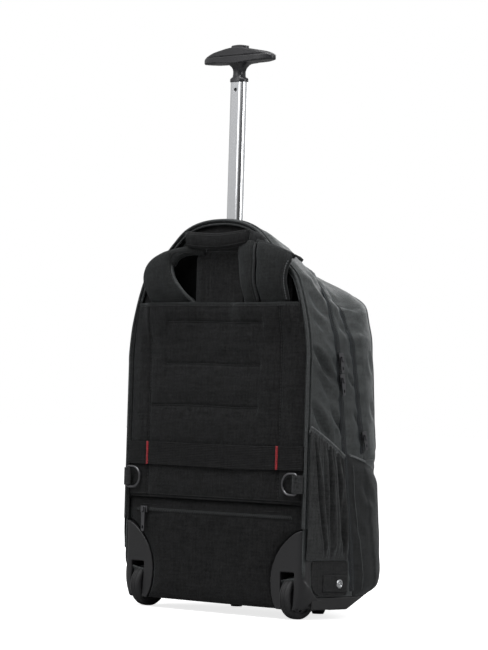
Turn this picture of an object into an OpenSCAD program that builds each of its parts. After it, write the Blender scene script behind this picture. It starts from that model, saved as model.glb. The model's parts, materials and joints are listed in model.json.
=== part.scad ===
// Rolling laptop case: a wheeled laptop backpack with a one-post telescopic
// handle, two inline wheels in moulded corner housings, stowed shoulder straps,
// a luggage band, side pockets and a front section that zips open.
// Origin on the floor under the middle of the bag; +Z up, +Y to the back panel.
// Left and right are as seen from behind, so left is +X.

/* [Bag body] */
// Width of the bag across its two side panels
body_w = 315; // [313:1:318]
// Height of the top of the arched back above the floor
body_top = 494; // [490:1:498]
// Height above the floor where the straight sides turn into the arch
spring_z = 325; // [322:1:328]
// Height of the underside of the bag above the floor
ground_gap = 12; // [11:0.5:13]
// Thickness of the lined fabric walls
wall = 2.6; // [2.2:0.2:3]
// Tilt of the main zip from upright, leaning back towards its top
zip_tilt = 7.3; // [7:0.1:7.6]

/* [Trolley handle] */
// Width of the inner tube across the bag
inner_w = 24.5; // [24:0.1:24.8]
// Depth of the inner tube
inner_d = 13; // [12.6:0.1:13.2]
// Wall of the three telescoping tubes
tube_wall = 1.2; // [1:0.1:1.3]
// Width of the grip from tip to tip
grip_w = 119; // [114:1:122]

/* [Wheels] */
// Diameter over the tyre
wheel_d = 54; // [52:1:55]
// Width of the tyre
tyre_w = 15; // [13:1:16]
// Distance of each wheel's middle from the centre plane
wheel_x = 131.5; // [131:0.5:132]
// Diameter of the axle
axle_d = 6; // [5:0.5:6.5]

/* [Back panel] */
// Height of the top edge of the sleeve that the shoulder straps tuck into
sleeve_top = 389; // [385:1:392]
// Height of the seam under the quilted panel
seam_z = 142; // [140:1:144]
// Middle height of the luggage band
band_z = 197.5; // [197:0.5:200]
// Height of the luggage band
band_h = 30; // [28:0.5:30]

/* [Hidden] */
half_w = body_w / 2;
back_y = 82;          // rear edge of the gusset
post_y = 58;          // centre of the telescopic post
axle_y = 64;
axle_z = wheel_d / 2;
tray_top = 28;
far = 300;            // beyond the bag, for cutting shapes
skin = 0.1;           // small gap that keeps neighbouring pieces apart

// Zip lines: [height of a mark, tilt, y at the mark, y where the line turns upright]
main_zip = [60, zip_tilt, -6, 34];
flap_zip = [203, 10.4, -24, 10];
zip_gap = 0.3;        // from a zip line to the piece beside it
tape_w = 5;           // from a zip line to the far edge of its tape
tape_t = 1.2;         // how far zip tapes stand out of the fabric

FABRIC = [0.13, 0.14, 0.14];
ZIP_BLACK = [0.07, 0.07, 0.075];
PANEL_BLACK = [0.1, 0.1, 0.105];
GRIP_BLACK = [0.09, 0.09, 0.1];
HOUSING_BLACK = [0.1, 0.1, 0.11];
STRAP_BLACK = [0.09, 0.09, 0.095];
RING_GREY = [0.35, 0.35, 0.36];

$fn = 48;

// ---------- drawing helpers ----------

// A flat shape drawn in X and Z, from y0 back to y1
module xz(y0, y1) {
    translate([0, y1, 0]) rotate([90, 0, 0]) linear_extrude(y1 - y0) children();
}

// A flat shape drawn in Y and Z, from x0 to x1
module yz(x0, x1) {
    translate([x0, 0, 0]) rotate([90, 0, 90]) linear_extrude(x1 - x0) children();
}

// A slot-shaped outline w wide and d deep
module stadium(w, d) {
    square([w - d, d], center = true);
    for (s = [-1, 1])
        translate([s * (w - d) / 2, 0]) circle(d = d);
}

module box(low, high) {
    translate(low) cube(high - low);
}

// Everything above a height
module above(z) {
    box([-far, -far, z], [far, far, 2 * far]);
}

// A +X piece and its mirror image
module both_sides() {
    for (m = [0, 1])
        mirror([m, 0, 0]) children();
}

// ---------- shape of the body ----------

// Control points of half the arch, as [share of the half width, share of the
// height between the spring line and the top]
ARCH = [[1, 0], [0.978, 0.178], [0.94, 0.325], [0.89, 0.468], [0.832, 0.58], [0.724, 0.67],
        [0.62, 0.742], [0.533, 0.818], [0.394, 0.923], [0.216, 0.982], [0, 1]];

// Outline of the bag from behind: straight sides, soft shoulders and a dome
function arch(half, top, bottom, spring) = let (rise = top - spring, last = len(ARCH) - 1) concat(
    [[-half, bottom]],
    [for (i = [0 : last]) [-half * ARCH[i][0], spring + rise * ARCH[i][1]]],
    [for (i = [last - 1 : -1 : 0]) [half * ARCH[i][0], spring + rise * ARCH[i][1]]],
    [[half, bottom]]);

// Discs that round the front corners: [inset from the side, y, z, radius, $fn]
CORNER_DISCS = [[78, 0, 404, 50, 32], [76, -6, 388, 62, 40], [73, -3, 350, 70, 40],
                [75, -26, 57, 75, 40], [73, -24, 42, 70, 32], [70, -16, 30, 66, 32]];

// The whole soft body, grown on its top, front and sides
module body_solid(grow = 0, y_back = back_y, z_low = ground_gap) {
    thin = 0.1;
    // arched slices: [rear y, inset from the side, top, lift of the bottom, drop of the spring line]
    slices = [[y_back, 0, body_top, 0, 0], [0, 2, 458, 0, 6], [-38, 24, 436, 6, 12]];
    discs = concat(CORNER_DISCS, [[70, 2, z_low, 50, 32]]);
    hull() {
        for (p = slices)
            xz(p[0] - thin, p[0])
                polygon(arch(half_w - p[1] + grow, p[2] + grow, z_low + p[3], spring_z - p[4]));
        for (s = [-1, 1], p = discs)
            translate([s * (half_w - p[0]), p[1], p[2]])
                cylinder(r = p[3] + grow, h = thin, $fn = p[4]);
    }
}

// The space inside the fabric walls, open at the back and underneath
module body_inside() {
    body_solid(-wall, back_y + 1, 0);
}

// y of the tilted part of a zip line at a height
function zip_y(zip, z) = zip[2] + (z - zip[0]) * tan(zip[1]);

// A zip line seen from the side, moved back by shift: it leans back as it
// rises and turns upright to run over the top of the bag
function zip_line(zip, shift) =
    [[zip_y(zip, -far) + shift, -far],
     [zip[3] + shift, zip[0] + (zip[3] - zip[2]) / tan(zip[1])],
     [zip[3] + shift, 4 * far]];

// Everything behind a zip line moved back by shift
module behind(zip, shift) {
    yz(-far, far) polygon(concat(zip_line(zip, shift), [[2 * far, 4 * far], [2 * far, -far]]));
}

// Everything in front of a zip line moved forward by shift
module ahead(zip, shift) {
    yz(-far, far) polygon(concat(zip_line(zip, -shift), [[-2 * far, 4 * far], [-2 * far, -far]]));
}

// ---------- telescopic post ----------

middle_w = inner_w + 3;
middle_d = inner_d + 3;
outer_w = inner_w + 6.5;
outer_d = inner_d + 6.5;
run_gap = 0.08;       // gap between a tube and the guide it slides in
outer_foot = 24;
outer_top = 468;
middle_foot = 40;
middle_top = 476;
inner_foot = 230;
inner_top = 671;
lock_z = 240;         // height of the locking pin
base_z = ground_gap + 3.2;
base_rear = 68.4;     // rear face of the base bracket
bezel_w = 44;         // exit bezel below its flange
bezel_d = 28;
bezel_z = 474.3;
flange_z = bezel_z + 7.7;
flange_extra = 6;     // flange width and depth beyond the bezel's

// A plan shape centred on the post, h tall from height z
module on_post(z, h) {
    translate([0, post_y, z]) linear_extrude(h) children();
}

module tube(w, d, foot, top) {
    on_post(foot, top - foot) difference() {
        stadium(w, d);
        stadium(w - 2 * tube_wall, d - 2 * tube_wall);
    }
}

// Collar w by d round the bore that a tube slides in
module guide(w, d, slide_w, slide_d, z, h) {
    on_post(z, h) difference() {
        stadium(w, d);
        stadium(slide_w + 2 * run_gap, slide_d + 2 * run_gap);
    }
}

// A block that fits inside the inner tube
module inner_plug(z, h) {
    on_post(z, h) stadium(inner_w - 2 * tube_wall - 0.1, inner_d - 2 * tube_wall - 0.1);
}

// Opening round the bezel, gap wider and deeper than it
module bezel_opening(gap, z, h, extra = 0) {
    on_post(z, h) stadium(bezel_w + extra + gap, bezel_d + extra + gap);
}

module outer_tube() {
    color("silver") tube(outer_w, outer_d, outer_foot, outer_top);
}

module outer_tube_guide() {
    color("dimgray") guide(outer_w + 1, outer_d + 1, middle_w, middle_d, outer_top + skin, 5.9);
}

module middle_tube() {
    color("silver") tube(middle_w, middle_d, middle_foot, middle_top);
}

module middle_tube_guide() {
    color("dimgray") guide(middle_w, middle_d, inner_w, inner_d, middle_top + skin, 7);
}

module inner_tube() {
    color("gainsboro") difference() {
        tube(inner_w, inner_d, inner_foot, inner_top);
        // mouth of the locking pin
        translate([5, post_y, lock_z]) rotate([0, 90, 0]) cylinder(d = 5.6, h = 20);
        // gauge hole near the top of the rear face
        translate([0, post_y + 3, inner_top - 10]) rotate([-90, 0, 0]) cylinder(d = 4.6, h = 10);
    }
}

module trolley_base_bracket() {
    seat_z = outer_foot - skin;
    color("dimgray") difference() {
        union() {
            box([-34, 42, base_z], [34, base_rear, 21]);
            on_post(20, 34) stadium(outer_w + 7, outer_d + 6);
        }
        on_post(seat_z, 60) stadium(outer_w + 0.1, outer_d + 0.1);
        // open at the back, where the post lies against the frame sheet
        box([-60, 66, seat_z], [60, 90, 60]);
        box([-60, base_rear, 0], [60, 90, 60]);
        for (s = [-1, 1])
            translate([s * 27, post_y, 0]) cylinder(d = 4.5, h = 60);
    }
}

module trolley_exit_bezel() {
    color([0.07, 0.07, 0.075]) difference() {
        union() {
            on_post(bezel_z, 8) stadium(bezel_w, bezel_d);
            on_post(flange_z, 5) stadium(bezel_w + flange_extra, bezel_d + flange_extra);
        }
        on_post(bezel_z - 1, 30) stadium(middle_w + 0.8, middle_d + 0.8);
    }
}

// ---------- grip, release and lock ----------

grip_z = 690;         // below the grip bar
grip_split = 704;     // where the upper shell starts
well_z = 701;         // floor of the button well
well_w = 27.8;
well_d = 12.6;
button_z = 706;       // underside of the release button
rod_z = 253;
rod_d = 4;
pin_d = 5;

// Rounds a sine or cosine towards a boxy oval
function boxy(v) = sign(v) * pow(abs(v), 0.8);

// Crescent-shaped grip bar, cut between two heights
module grip_bar(z0, z1) {
    half = grip_w / 2;
    intersection() {
        xz(post_y - 30, post_y + 30) polygon(concat(
            [for (i = [-10 : 10]) let (u = i / 10)
                [u * half, 701.5 + 13 * (1 - pow(abs(u), 1.8))]],
            [for (i = [10 : -1 : -10]) let (u = i / 10)
                [u * half, 697.5 - 3.5 * (1 - abs(u))]]));
        on_post(z0, z1 - z0)
            polygon([for (i = [0 : 47]) let (a = i * 7.5) [half * boxy(cos(a)), 12 * boxy(sin(a))]]);
    }
}

module grip_lower_shell() {
    color(GRIP_BLACK) difference() {
        union() {
            grip_bar(grip_z, grip_split - skin);
            // neck, collar on the tube and spigot inside it
            on_post(675, 22) stadium(15.6, 13.6);
            on_post(inner_top + skin, 4.4) stadium(inner_w + 1.6, inner_d + 1.6);
            inner_plug(655, 17);
        }
        on_post(well_z, 10) stadium(well_w, well_d);
        // spring bore and rod bore
        translate([0, post_y, grip_z]) cylinder(d = 10, h = 20);
        translate([0, post_y, 650]) cylinder(d = 4.5, h = 50);
    }
}

module grip_upper_shell() {
    color(GRIP_BLACK) difference() {
        grip_bar(grip_split, 720);
        on_post(well_z - 1, 30) stadium(well_w, well_d);
    }
}

module release_button() {
    color([0.14, 0.14, 0.15]) difference() {
        on_post(button_z, 12.5) stadium(well_w - 0.8, well_d - 0.8);
        // crowned top
        xz(post_y - 20, post_y + 20) polygon(concat(
            [for (i = [-8 : 8]) let (u = i / 8) [u * 18, 715.8 + 2.4 * (1 - u * u)]],
            [[18, 725], [-18, 725]]));
    }
}

// Coil of a round wire, swept along a helix
module coil(r, wire_r, h, turns, sides = 6, per_turn = 18) {
    steps = turns * per_turn;
    points = [for (i = [0 : steps]) let (a = i * 360 / per_turn, z = i * h / steps)
              for (k = [0 : sides - 1]) let (b = k * 360 / sides, reach = r + wire_r * cos(b))
                  [reach * cos(a), reach * sin(a), z + wire_r * sin(b)]];
    polyhedron(points = points, faces = concat(
        [[for (k = [0 : sides - 1]) k]],
        [[for (k = [sides - 1 : -1 : 0]) steps * sides + k]],
        [for (i = [0 : steps - 1]) for (k = [0 : sides - 1]) let (next = (k + 1) % sides)
            [i * sides + k, (i + 1) * sides + k, (i + 1) * sides + next, i * sides + next]]));
}

module button_spring() {
    color("gray") translate([0, post_y, grip_z + 0.8]) coil(r = 3.6, wire_r = 0.5, h = 14.4, turns = 5);
}

module release_rod() {
    color("silver") translate([0, post_y, rod_z])
        cylinder(d = rod_d, h = button_z - skin - rod_z, $fn = 24);
}

module lock_block() {
    color("dimgray") difference() {
        inner_plug(inner_foot + 0.5, 28);
        translate([-4.2, post_y, lock_z]) rotate([0, 90, 0]) cylinder(d = pin_d + 0.1, h = 30);
        translate([0, post_y, 246]) cylinder(d = rod_d + 0.2, h = 30, $fn = 24);
    }
}

module lock_pin() {
    color("silver") translate([-1, post_y, lock_z]) rotate([0, 90, 0])
        cylinder(d = pin_d, h = 13.1);
}

// ---------- wheel housings ----------

house_rear = 84;               // rear face of the housings
house_front = axle_y - 32;
house_side = half_w + 1.5;     // outer face behind the side fabric
house_inset = half_w - 3.4;    // outer face within the side fabric
guard_side = half_w + 3.4;     // outer face of the scuff guard
slot_half = 11.5;              // half the width of the wheel slot
slot_r = 29.5;
seat_x = 112;                  // inner end of the axle seat
seat_len = 40;

// Housing screws, as [x, z]
SCREWS = [[112, 40], [148, 40], [148, 24]];

// Outline of a housing from behind, for +X, grown by gap
function housing_outline(gap) =
    [[88 - gap, -1], [88 - gap, 13], [95 - gap, 28], [103 - gap, 42], [104.5 - gap, 56],
     [107 - gap, 66 + gap], [112 - gap, 77 + gap], [119 - gap, 87 + gap], [127, 95 + gap],
     [135, 101.5 + gap], [143, 106.5 + gap], [151, 109.5 + gap], [170, 110 + gap], [170, -1]];

// Room taken by one housing inside the bag, for +X
module housing_room(gap = 0.4) {
    xz(66 - gap, 100) polygon(housing_outline(gap));
    box([86 - gap, house_front - gap, -1], [half_w - 3 + gap, 70, 60 + gap]);
}

// Outline that rounds the lower outer corner of a housing by r, side from the middle
function foot_outline(side, r) = concat([[40, ground_gap]],
    [for (i = [0 : 8]) let (a = i * 90 / 8)
        [side - r + r * sin(a), ground_gap + r - r * cos(a)]],
    [[side, 140], [40, 140]]);

module housing_block() {
    corner_r = 12;
    x0 = 80;
    y0 = 20;
    intersection() {
        union() {
            xz(67, house_rear) polygon(housing_outline(0));
            xz(house_front, house_rear) polygon([[88, ground_gap], [95, 28], [103, 42],
                [104.5, 56], [house_inset, 58], [house_inset, ground_gap]]);
        }
        // rounded foot of the outer corner
        xz(0, 120) polygon(foot_outline(house_side, 14));
        // plan: rounded rear outer corner, drawn in behind the side fabric
        translate([0, 0, ground_gap]) linear_extrude(110) difference() {
            union() {
                translate([x0, y0]) square([house_side - corner_r - x0, house_rear - y0]);
                translate([x0, y0]) square([house_side - x0, house_rear - corner_r - y0]);
                translate([house_side - corner_r, house_rear - corner_r]) circle(r = corner_r);
            }
            translate([house_inset, 10]) square([20, 61]);
        }
    }
}

// Guard along the foot of the side panel
module scuff_guard() {
    corner_r = 14;
    x0 = 140;
    intersection() {
        yz(house_inset, guard_side) polygon([[80, ground_gap], [82, 50], [74, 42], [69, 36],
            [62, 29.5], [54, 25.5], [40, 22.8], [8, 21], [5, 18], [6, 14.5],
            [20, ground_gap + 0.5]]);
        xz(0, 120) polygon(foot_outline(guard_side, 7));
        linear_extrude(60) difference() {
            union() {
                translate([x0, 0]) square([guard_side - x0, house_rear - corner_r]);
                translate([guard_side - corner_r, house_rear - corner_r]) circle(r = corner_r);
            }
            translate([x0, -5]) square([half_w + 0.15 - x0, 76]);
        }
    }
}

// Slot for the wheel, open at the back and underneath
module wheel_slot() {
    x0 = wheel_x - slot_half;
    x1 = wheel_x + slot_half;
    box([x0, axle_y, -1], [x1, 100, 58]);
    box([x0, axle_y - slot_r, -1], [x1, axle_y + 1, axle_z]);
    intersection() {
        translate([x0, axle_y, axle_z]) rotate([0, 90, 0]) cylinder(r = slot_r, h = 2 * slot_half);
        box([0, 0, 0], [200, axle_y + 1, 80]);
    }
}

// The housing for +X
module wheel_housing() {
    difference() {
        union() {
            housing_block();
            scuff_guard();
        }
        wheel_slot();
        translate([seat_x, axle_y, axle_z]) rotate([0, 90, 0])
            cylinder(d = axle_d + 0.1, h = seat_len);
        for (p = SCREWS)
            translate([p[0], house_front - 1, p[1]]) rotate([-90, 0, 0])
                cylinder(d = 4.1, h = 8, $fn = 24);
    }
}

module left_wheel_housing() {
    color(HOUSING_BLACK) wheel_housing();
}

module right_wheel_housing() {
    color(HOUSING_BLACK) mirror([1, 0, 0]) wheel_housing();
}

module housing_screws() {
    color("silver") both_sides() for (p = SCREWS)
        translate([p[0], house_front - 2.4, p[1]]) rotate([-90, 0, 0]) {
            cylinder(d = 8, h = 2.3, $fn = 24);
            cylinder(d = 4, h = 9.2, $fn = 24);
        }
}

// ---------- wheels ----------
// side is 1 for the left wheel and -1 for the right

bearing_d = 16;
hub_d = wheel_d - 16;

// Turns a piece drawn round Z onto the axle line, at x
module on_axle(x) {
    translate([x, axle_y, axle_z]) rotate([0, 90, 0]) children();
}

module wheel_axles() {
    color("silver") for (s = [-1, 1])
        on_axle(s * (seat_x + seat_len / 2))
            cylinder(d = axle_d, h = seat_len - 2 * skin, center = true);
}

module wheel_bearings(side) {
    color("silver") for (shift = [-4, 4])
        on_axle(side * wheel_x + shift) difference() {
            cylinder(d = bearing_d, h = 4.6, center = true);
            cylinder(d = axle_d + 0.1, h = 6, center = true);
        }
}
module left_wheel_bearings() { wheel_bearings(1); }
module right_wheel_bearings() { wheel_bearings(-1); }

module wheel_hub(side) {
    color([0.16, 0.16, 0.17]) on_axle(side * wheel_x) difference() {
        union() {
            cylinder(d = hub_d, h = tyre_w - 3, center = true);
            cylinder(d = 22, h = tyre_w, center = true);
        }
        // bearing seats, then the bore between them
        for (k = [-1, 1])
            translate([0, 0, k * 5.8]) cylinder(d = bearing_d + 0.04, h = 8.4, center = true);
        cylinder(d = 11, h = 30, center = true);
        // lightening pockets on the outer face
        for (i = [0 : 5])
            rotate([0, 0, i * 60]) translate([15, 0, side * 5.5])
                cylinder(d = 5, h = 5, center = true, $fn = 24);
    }
}
module left_wheel_hub() { wheel_hub(1); }
module right_wheel_hub() { wheel_hub(-1); }

module tyre(side) {
    edge_r = 3;
    inner_r = hub_d / 2;
    color([0.05, 0.05, 0.05]) on_axle(side * wheel_x) rotate_extrude($fn = 72) difference() {
        union() {
            translate([inner_r, -tyre_w / 2]) square([8 - edge_r, tyre_w]);
            translate([inner_r, -tyre_w / 2 + edge_r]) square([8, tyre_w - 2 * edge_r]);
            for (k = [-1, 1])
                translate([wheel_d / 2 - edge_r, k * (tyre_w / 2 - edge_r)])
                    circle(r = edge_r, $fn = 24);
        }
        translate([0, -20]) square([inner_r + 0.02, 40]);
    }
}
module left_tyre() { tyre(1); }
module right_tyre() { tyre(-1); }

// ---------- stiff parts of the bag ----------

tray_wall = 3;
tray_front = -76;
tray_rear = 70.7;
foot_x = 72;          // front feet under the tray
foot_y = -40;
stud_d = 6;           // studs of the feet
sleeve_half = 153;    // laptop sleeve
sleeve_foot = 61;

module base_tray() {
    floor_z = ground_gap + tray_wall;
    color([0.09, 0.09, 0.095]) difference() {
        intersection() {
            body_solid();
            box([-200, tray_front, 0], [200, tray_rear, tray_top]);
        }
        intersection() {
            body_solid(-tray_wall, back_y + 1, floor_z);
            box([-200, tray_front + tray_wall, floor_z], [200, 100, 100]);
        }
        both_sides() housing_room();
        // seats for the studs of the front feet
        for (s = [-1, 1])
            translate([s * foot_x, foot_y, 0]) cylinder(d = stud_d + 0.1, h = 40);
    }
}

module front_feet() {
    color([0.06, 0.06, 0.06]) for (s = [-1, 1])
        translate([s * foot_x, foot_y, 0]) {
            cylinder(r1 = 7, r2 = 9, h = 4, $fn = 36);
            translate([0, 0, 4]) cylinder(r = 9, h = ground_gap - 4 - skin, $fn = 36);
            cylinder(d = stud_d, h = ground_gap + 6, $fn = 36);
        }
}

module back_frame_sheet() {
    color("dimgray") difference() {
        xz(68.6, 70.6) polygon(arch(half_w - 8, body_top - 14, ground_gap + 4, spring_z - 4));
        both_sides() housing_room(1);
        bezel_opening(0.8, bezel_z - 0.5, 30);
    }
}

module trolley_cover_panel() {
    color("dimgray") xz(45.8, 47.4) polygon(arch(half_w - 9, 466, 63.2, spring_z - 8));
}

module laptop_sleeve() {
    color("slategray") {
        box([-sleeve_half, 18.6, sleeve_foot], [sleeve_half, 21.4, 240]);
        box([-sleeve_half, 21.3, sleeve_foot], [sleeve_half, 45.6, sleeve_foot + 2]);
    }
}

// ---------- back panel ----------

crown_y = 90.5;       // rear face of the padded back, at the middle
pad_y = 80;           // rear face of the back pad
panel_y = pad_y + skin;
quilt_half = 154.2;   // half the width of the panels on the pad
quilt_edge = 152.2;   // middle of the quilted panel's closed sides
tack_x = 114;

// Rear face of the padded back: flat in the middle, falling away at the sides
function crown(x) = crown_y - 8 * pow(min(1, abs(x) / 157), 5);

// A layer on the padded back. rear and front are offsets of its faces from the
// crown line; without front, it reaches forward to the pad.
module crown_layer(rear, half, z0, z1, front = undef) {
    translate([0, 0, z0]) linear_extrude(z1 - z0) polygon(concat(
        [for (i = [-10 : 10]) let (x = i * half / 10) [x, max(crown(x) + rear, panel_y + 0.5)]],
        [for (i = [10 : -1 : -10]) let (x = i * half / 10)
            [x, is_undef(front) ? panel_y : crown(x) + front]]));
}

module back_pad() {
    half = half_w - wall - 0.8;
    foot = ground_gap + 0.2;
    color(PANEL_BLACK) difference() {
        union() {
            xz(70.8, 76.1) polygon(arch(half, body_top - wall - 6.4, foot, spring_z));
            xz(76, pad_y) polygon(arch(half, body_top - wall - 3.2, foot, spring_z));
        }
        both_sides() housing_room();
        bezel_opening(0.8, bezel_z - 0.5, 60, extra = flange_extra);
    }
}

module lower_back_panel() {
    color(PANEL_BLACK) difference() {
        intersection() {
            crown_layer(-4, quilt_half, ground_gap + 0.2, seam_z - 0.3);
            box([-200, panel_y, 0], [200, 100, 200]);
        }
        both_sides() housing_room();
    }
}

// Quilted panel of the strap sleeve: open at the top, closed down both sides
module strap_stow_panel() {
    color([0.11, 0.11, 0.115]) intersection() {
        union() {
            crown_layer(0, quilt_half, seam_z, sleeve_top, front = -3);
            for (s = [-1, 1])
                box([s * quilt_edge - 2, panel_y, seam_z],
                    [s * quilt_edge + 2, 82.5, sleeve_top - 30]);
            crown_layer(0, quilt_half, seam_z, seam_z + 3);
        }
        xz(0, 200) polygon(arch(half_w - 3.3, body_top - 3.6, 0, spring_z));
    }
}

module luggage_band() {
    color([0.06, 0.06, 0.062])
        crown_layer(1.8, 155, band_z - band_h / 2, band_z + band_h / 2, front = 0.1);
}

module band_bartacks() {
    color([0.75, 0.08, 0.1]) for (s = [-1, 1])
        translate([s * tack_x, crown(tack_x) + 2.3, band_z])
            cube([2.6, 0.7, band_h - 2], center = true);
}

module back_piping() {
    color([0.08, 0.08, 0.085]) xz(back_y + skin, back_y + 3.2) difference() {
        polygon(arch(half_w + 1.2, body_top + 1.5, 112, spring_z));
        polygon(arch(half_w - 1.9, body_top - 1.9, 100, spring_z));
    }
}

// ---------- soft shells ----------

hinge_z = 198;        // foot of the front flap

module rear_shell() {
    color(FABRIC) difference() {
        intersection() {
            body_solid();
            behind(main_zip, zip_gap);
            above(tray_top + skin);
        }
        body_inside();
        both_sides() housing_room();
        bezel_opening(0.6, 440, 100);
        bezel_opening(0.6, flange_z - 0.3, 100, extra = flange_extra);
    }
}

// Region in front of the flap's zip and above its hinge, drawn in by gap
module flap_region(gap) {
    intersection() {
        ahead(flap_zip, gap);
        above(hinge_z + gap);
    }
}

module front_shell() {
    color(FABRIC) difference() {
        intersection() {
            body_solid();
            ahead(main_zip, zip_gap);
            above(tray_top + 0.3);
        }
        // main compartment half
        intersection() {
            body_inside();
            behind(flap_zip, 2.3);
            above(tray_top + 2.6);
        }
        // front compartment, open towards the flap
        intersection() {
            body_inside();
            ahead(flap_zip, 1.2);
            above(36);
        }
        flap_region(-zip_gap);
    }
}

module front_flap() {
    color(FABRIC) difference() {
        intersection() {
            body_solid();
            flap_region(zip_gap);
        }
        intersection() {
            body_inside();
            above(hinge_z - 8);
        }
    }
}

// ---------- zips ----------

pin_x = 3.1;          // slider pin, out from the face
top_slider_z = 322;   // main zip
low_slider_z = 296;
flap_slider_z = 226;
lower_zip_z = 125;
lower_slider_at = [117, crown_y - 4 + 1.3, lower_zip_z];

// Strip lying on the fabric beside a zip line, from near to past behind it
module zip_band(zip, near, past, z_low) {
    edge = zip_line(zip, past);
    difference() {
        intersection() {
            body_solid(tape_t);
            yz(-far, far) polygon(concat(zip_line(zip, near), [for (i = [2 : -1 : 0]) edge[i]]));
            above(z_low);
        }
        body_solid(0.05);
    }
}

// A slider body and the eye that holds its pull, lying on the face x = 0,
// pointing away in +X, with the pull's pin across it at z = 0
module slider_body(half = 4, low = -5, high = 7) {
    difference() {
        union() {
            box([0, -half, low], [2.2, half, high]);
            box([2.1, -1.4, -3], [4.6, 1.4, 3]);
        }
        translate([pin_x, 0, 0]) rotate([90, 0, 0])
            cylinder(d = 1.3, h = 10, center = true, $fn = 24);
    }
}

// The pull: a pin through the eye and a tapered plate hanging below it
module slider_pull(drop) {
    x0 = pin_x - 0.6;
    x1 = pin_x + 0.6;
    translate([pin_x, 0, 0]) rotate([90, 0, 0])
        cylinder(d = 1.2, h = 5.4, center = true, $fn = 24);
    for (s = [-1, 1])
        box([x0, s * 2.4 - 0.8, -5], [x1, s * 2.4 + 0.8, 0]);
    difference() {
        yz(x0, x1) polygon([[-3.2, -4.2], [3.2, -4.2], [2.6, -drop], [1.4, -drop - 1.5],
            [-1.4, -drop - 1.5], [-2.6, -drop]]);
        box([0, -1.2, -drop + 2], [6, 1.2, -drop + 6]);
    }
}

// Places a slider on the right-hand (-X) side panel, on a tilted zip, at height z
module on_side_zip(zip, z) {
    translate([-half_w - tape_t - 0.15, zip_y(zip, z), z]) rotate([-zip[1], 0, 0])
        mirror([1, 0, 0]) children();
}

module main_zip_rear_tape() {
    color(ZIP_BLACK) zip_band(main_zip, zip_gap, tape_w, 34);
}

module main_zip_front_tape() {
    color(ZIP_BLACK) zip_band(main_zip, -tape_w, -zip_gap, 34);
}

module main_zip_slider_top() {
    color("dimgray") on_side_zip(main_zip, top_slider_z) slider_body();
}

module main_zip_pull_top() {
    color("dimgray") on_side_zip(main_zip, top_slider_z) slider_pull(16);
}

module main_zip_slider_low() {
    color("dimgray") on_side_zip(main_zip, low_slider_z) slider_body();
}

module main_zip_pull_low() {
    color("dimgray") on_side_zip(main_zip, low_slider_z) slider_pull(18);
}

module flap_zip_tape() {
    color(ZIP_BLACK) zip_band(flap_zip, zip_gap, tape_w, 204);
}

module flap_zip_slider() {
    color("dimgray") on_side_zip(flap_zip, flap_slider_z) slider_body();
}

module flap_zip_pull() {
    color("dimgray") on_side_zip(flap_zip, flap_slider_z) slider_pull(15);
}

module lower_zip_tape() {
    color(ZIP_BLACK) crown_layer(-2.9, 136, lower_zip_z - 5, lower_zip_z + 5, front = -3.9);
}

// This zip runs sideways, so the slider's long side lies across
module lower_zip_slider() {
    color("dimgray") translate(lower_slider_at) rotate([0, 0, 90])
        slider_body(half = 6, low = -4, high = 4);
}

module lower_zip_pull() {
    color("dimgray") translate(lower_slider_at) rotate([0, 0, 90]) slider_pull(27);
}

// ---------- side pockets ----------

side_x = half_w + skin;   // inner face of what lies on a side panel

// Top edge of a side pocket, rising towards the back
function hem_z(y) = 202 + (y - 17) * 36 / 64;

module side_pockets() {
    color([0.11, 0.115, 0.12]) both_sides() difference() {
        yz(side_x, half_w + 5) polygon([[4, 73], [5.5, 90], [18, hem_z(18) - 9],
            [80, hem_z(80) - 9], [80, 113], [70.5, 110], [70.5, 73]]);
        yz(half_w - 1, half_w + 3.6) polygon([[7, 76], [8.5, 92], [20.5, 190], [20.5, 260],
            [77.5, 260], [77.5, 116], [68, 112], [68, 76]]);
    }
}

module pocket_hems() {
    color([0.16, 0.17, 0.17]) both_sides() difference() {
        yz(side_x, half_w + 6.5) polygon([[18, hem_z(18) - 8.9], [17.8, hem_z(17.8)],
            [80, hem_z(80)], [80, hem_z(80) - 8.9]]);
        yz(half_w - 1, half_w + 4) polygon([[21, hem_z(21) - 20], [21, hem_z(21) + 20],
            [77.5, hem_z(77.5) + 20], [77.5, hem_z(77.5) - 20]]);
    }
}

module side_base_patches() {
    color(PANEL_BLACK) both_sides() yz(side_x, half_w + 2.4)
        polygon([[3, 29], [3, 72.6], [70.5, 72.6], [70.5, 44], [68, 38.5], [61, 32], [54, 29]]);
}

// Flat tabs over the base patches, each with a dished round stud
module side_tabs() {
    color([0.12, 0.12, 0.125]) both_sides() yz(half_w + 2.5, half_w + 4.4)
        polygon([[6, 34.5], [6, 55.5], [50, 55.5], [50, 34.5]]);
    color("silver") both_sides() translate([half_w + 4.5, 21, 44.5]) rotate([0, 90, 0])
        difference() {
            cylinder(d = 11, h = 1.6, $fn = 36);
            translate([0, 0, 0.9]) cylinder(d = 6, h = 2, $fn = 36);
        }
}

// ---------- straps and handle ----------

strap_y = 80.2;       // front face of the straps
handle_half = 46;     // half the length of the padded grip

// Outlines of the straps where they show above the sleeve, as [x, z] for +X
LEFT_REAR = [[37, 390], [58, 412], [70, 431], [70, 444], [58, 454], [60, 458.5],
             [82, 449], [100, 440], [109, 434], [113, 422], [109, 403], [115, 390]];
LEFT_FRONT = [[37, 389.7], [58, 412], [70, 431], [68, 446], [96, 436], [106, 420],
              [115, 389.7]];
RIGHT_REAR = [[46, 390], [40, 430], [42, 452], [74, 457], [105, 456], [127, 449],
              [129, 443], [123, 431], [125, 390]];
RIGHT_FRONT = [[46, 389.7], [42, 430], [44, 452], [74, 452], [94, 440], [114, 425],
               [124, 404], [125, 389.7]];

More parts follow.
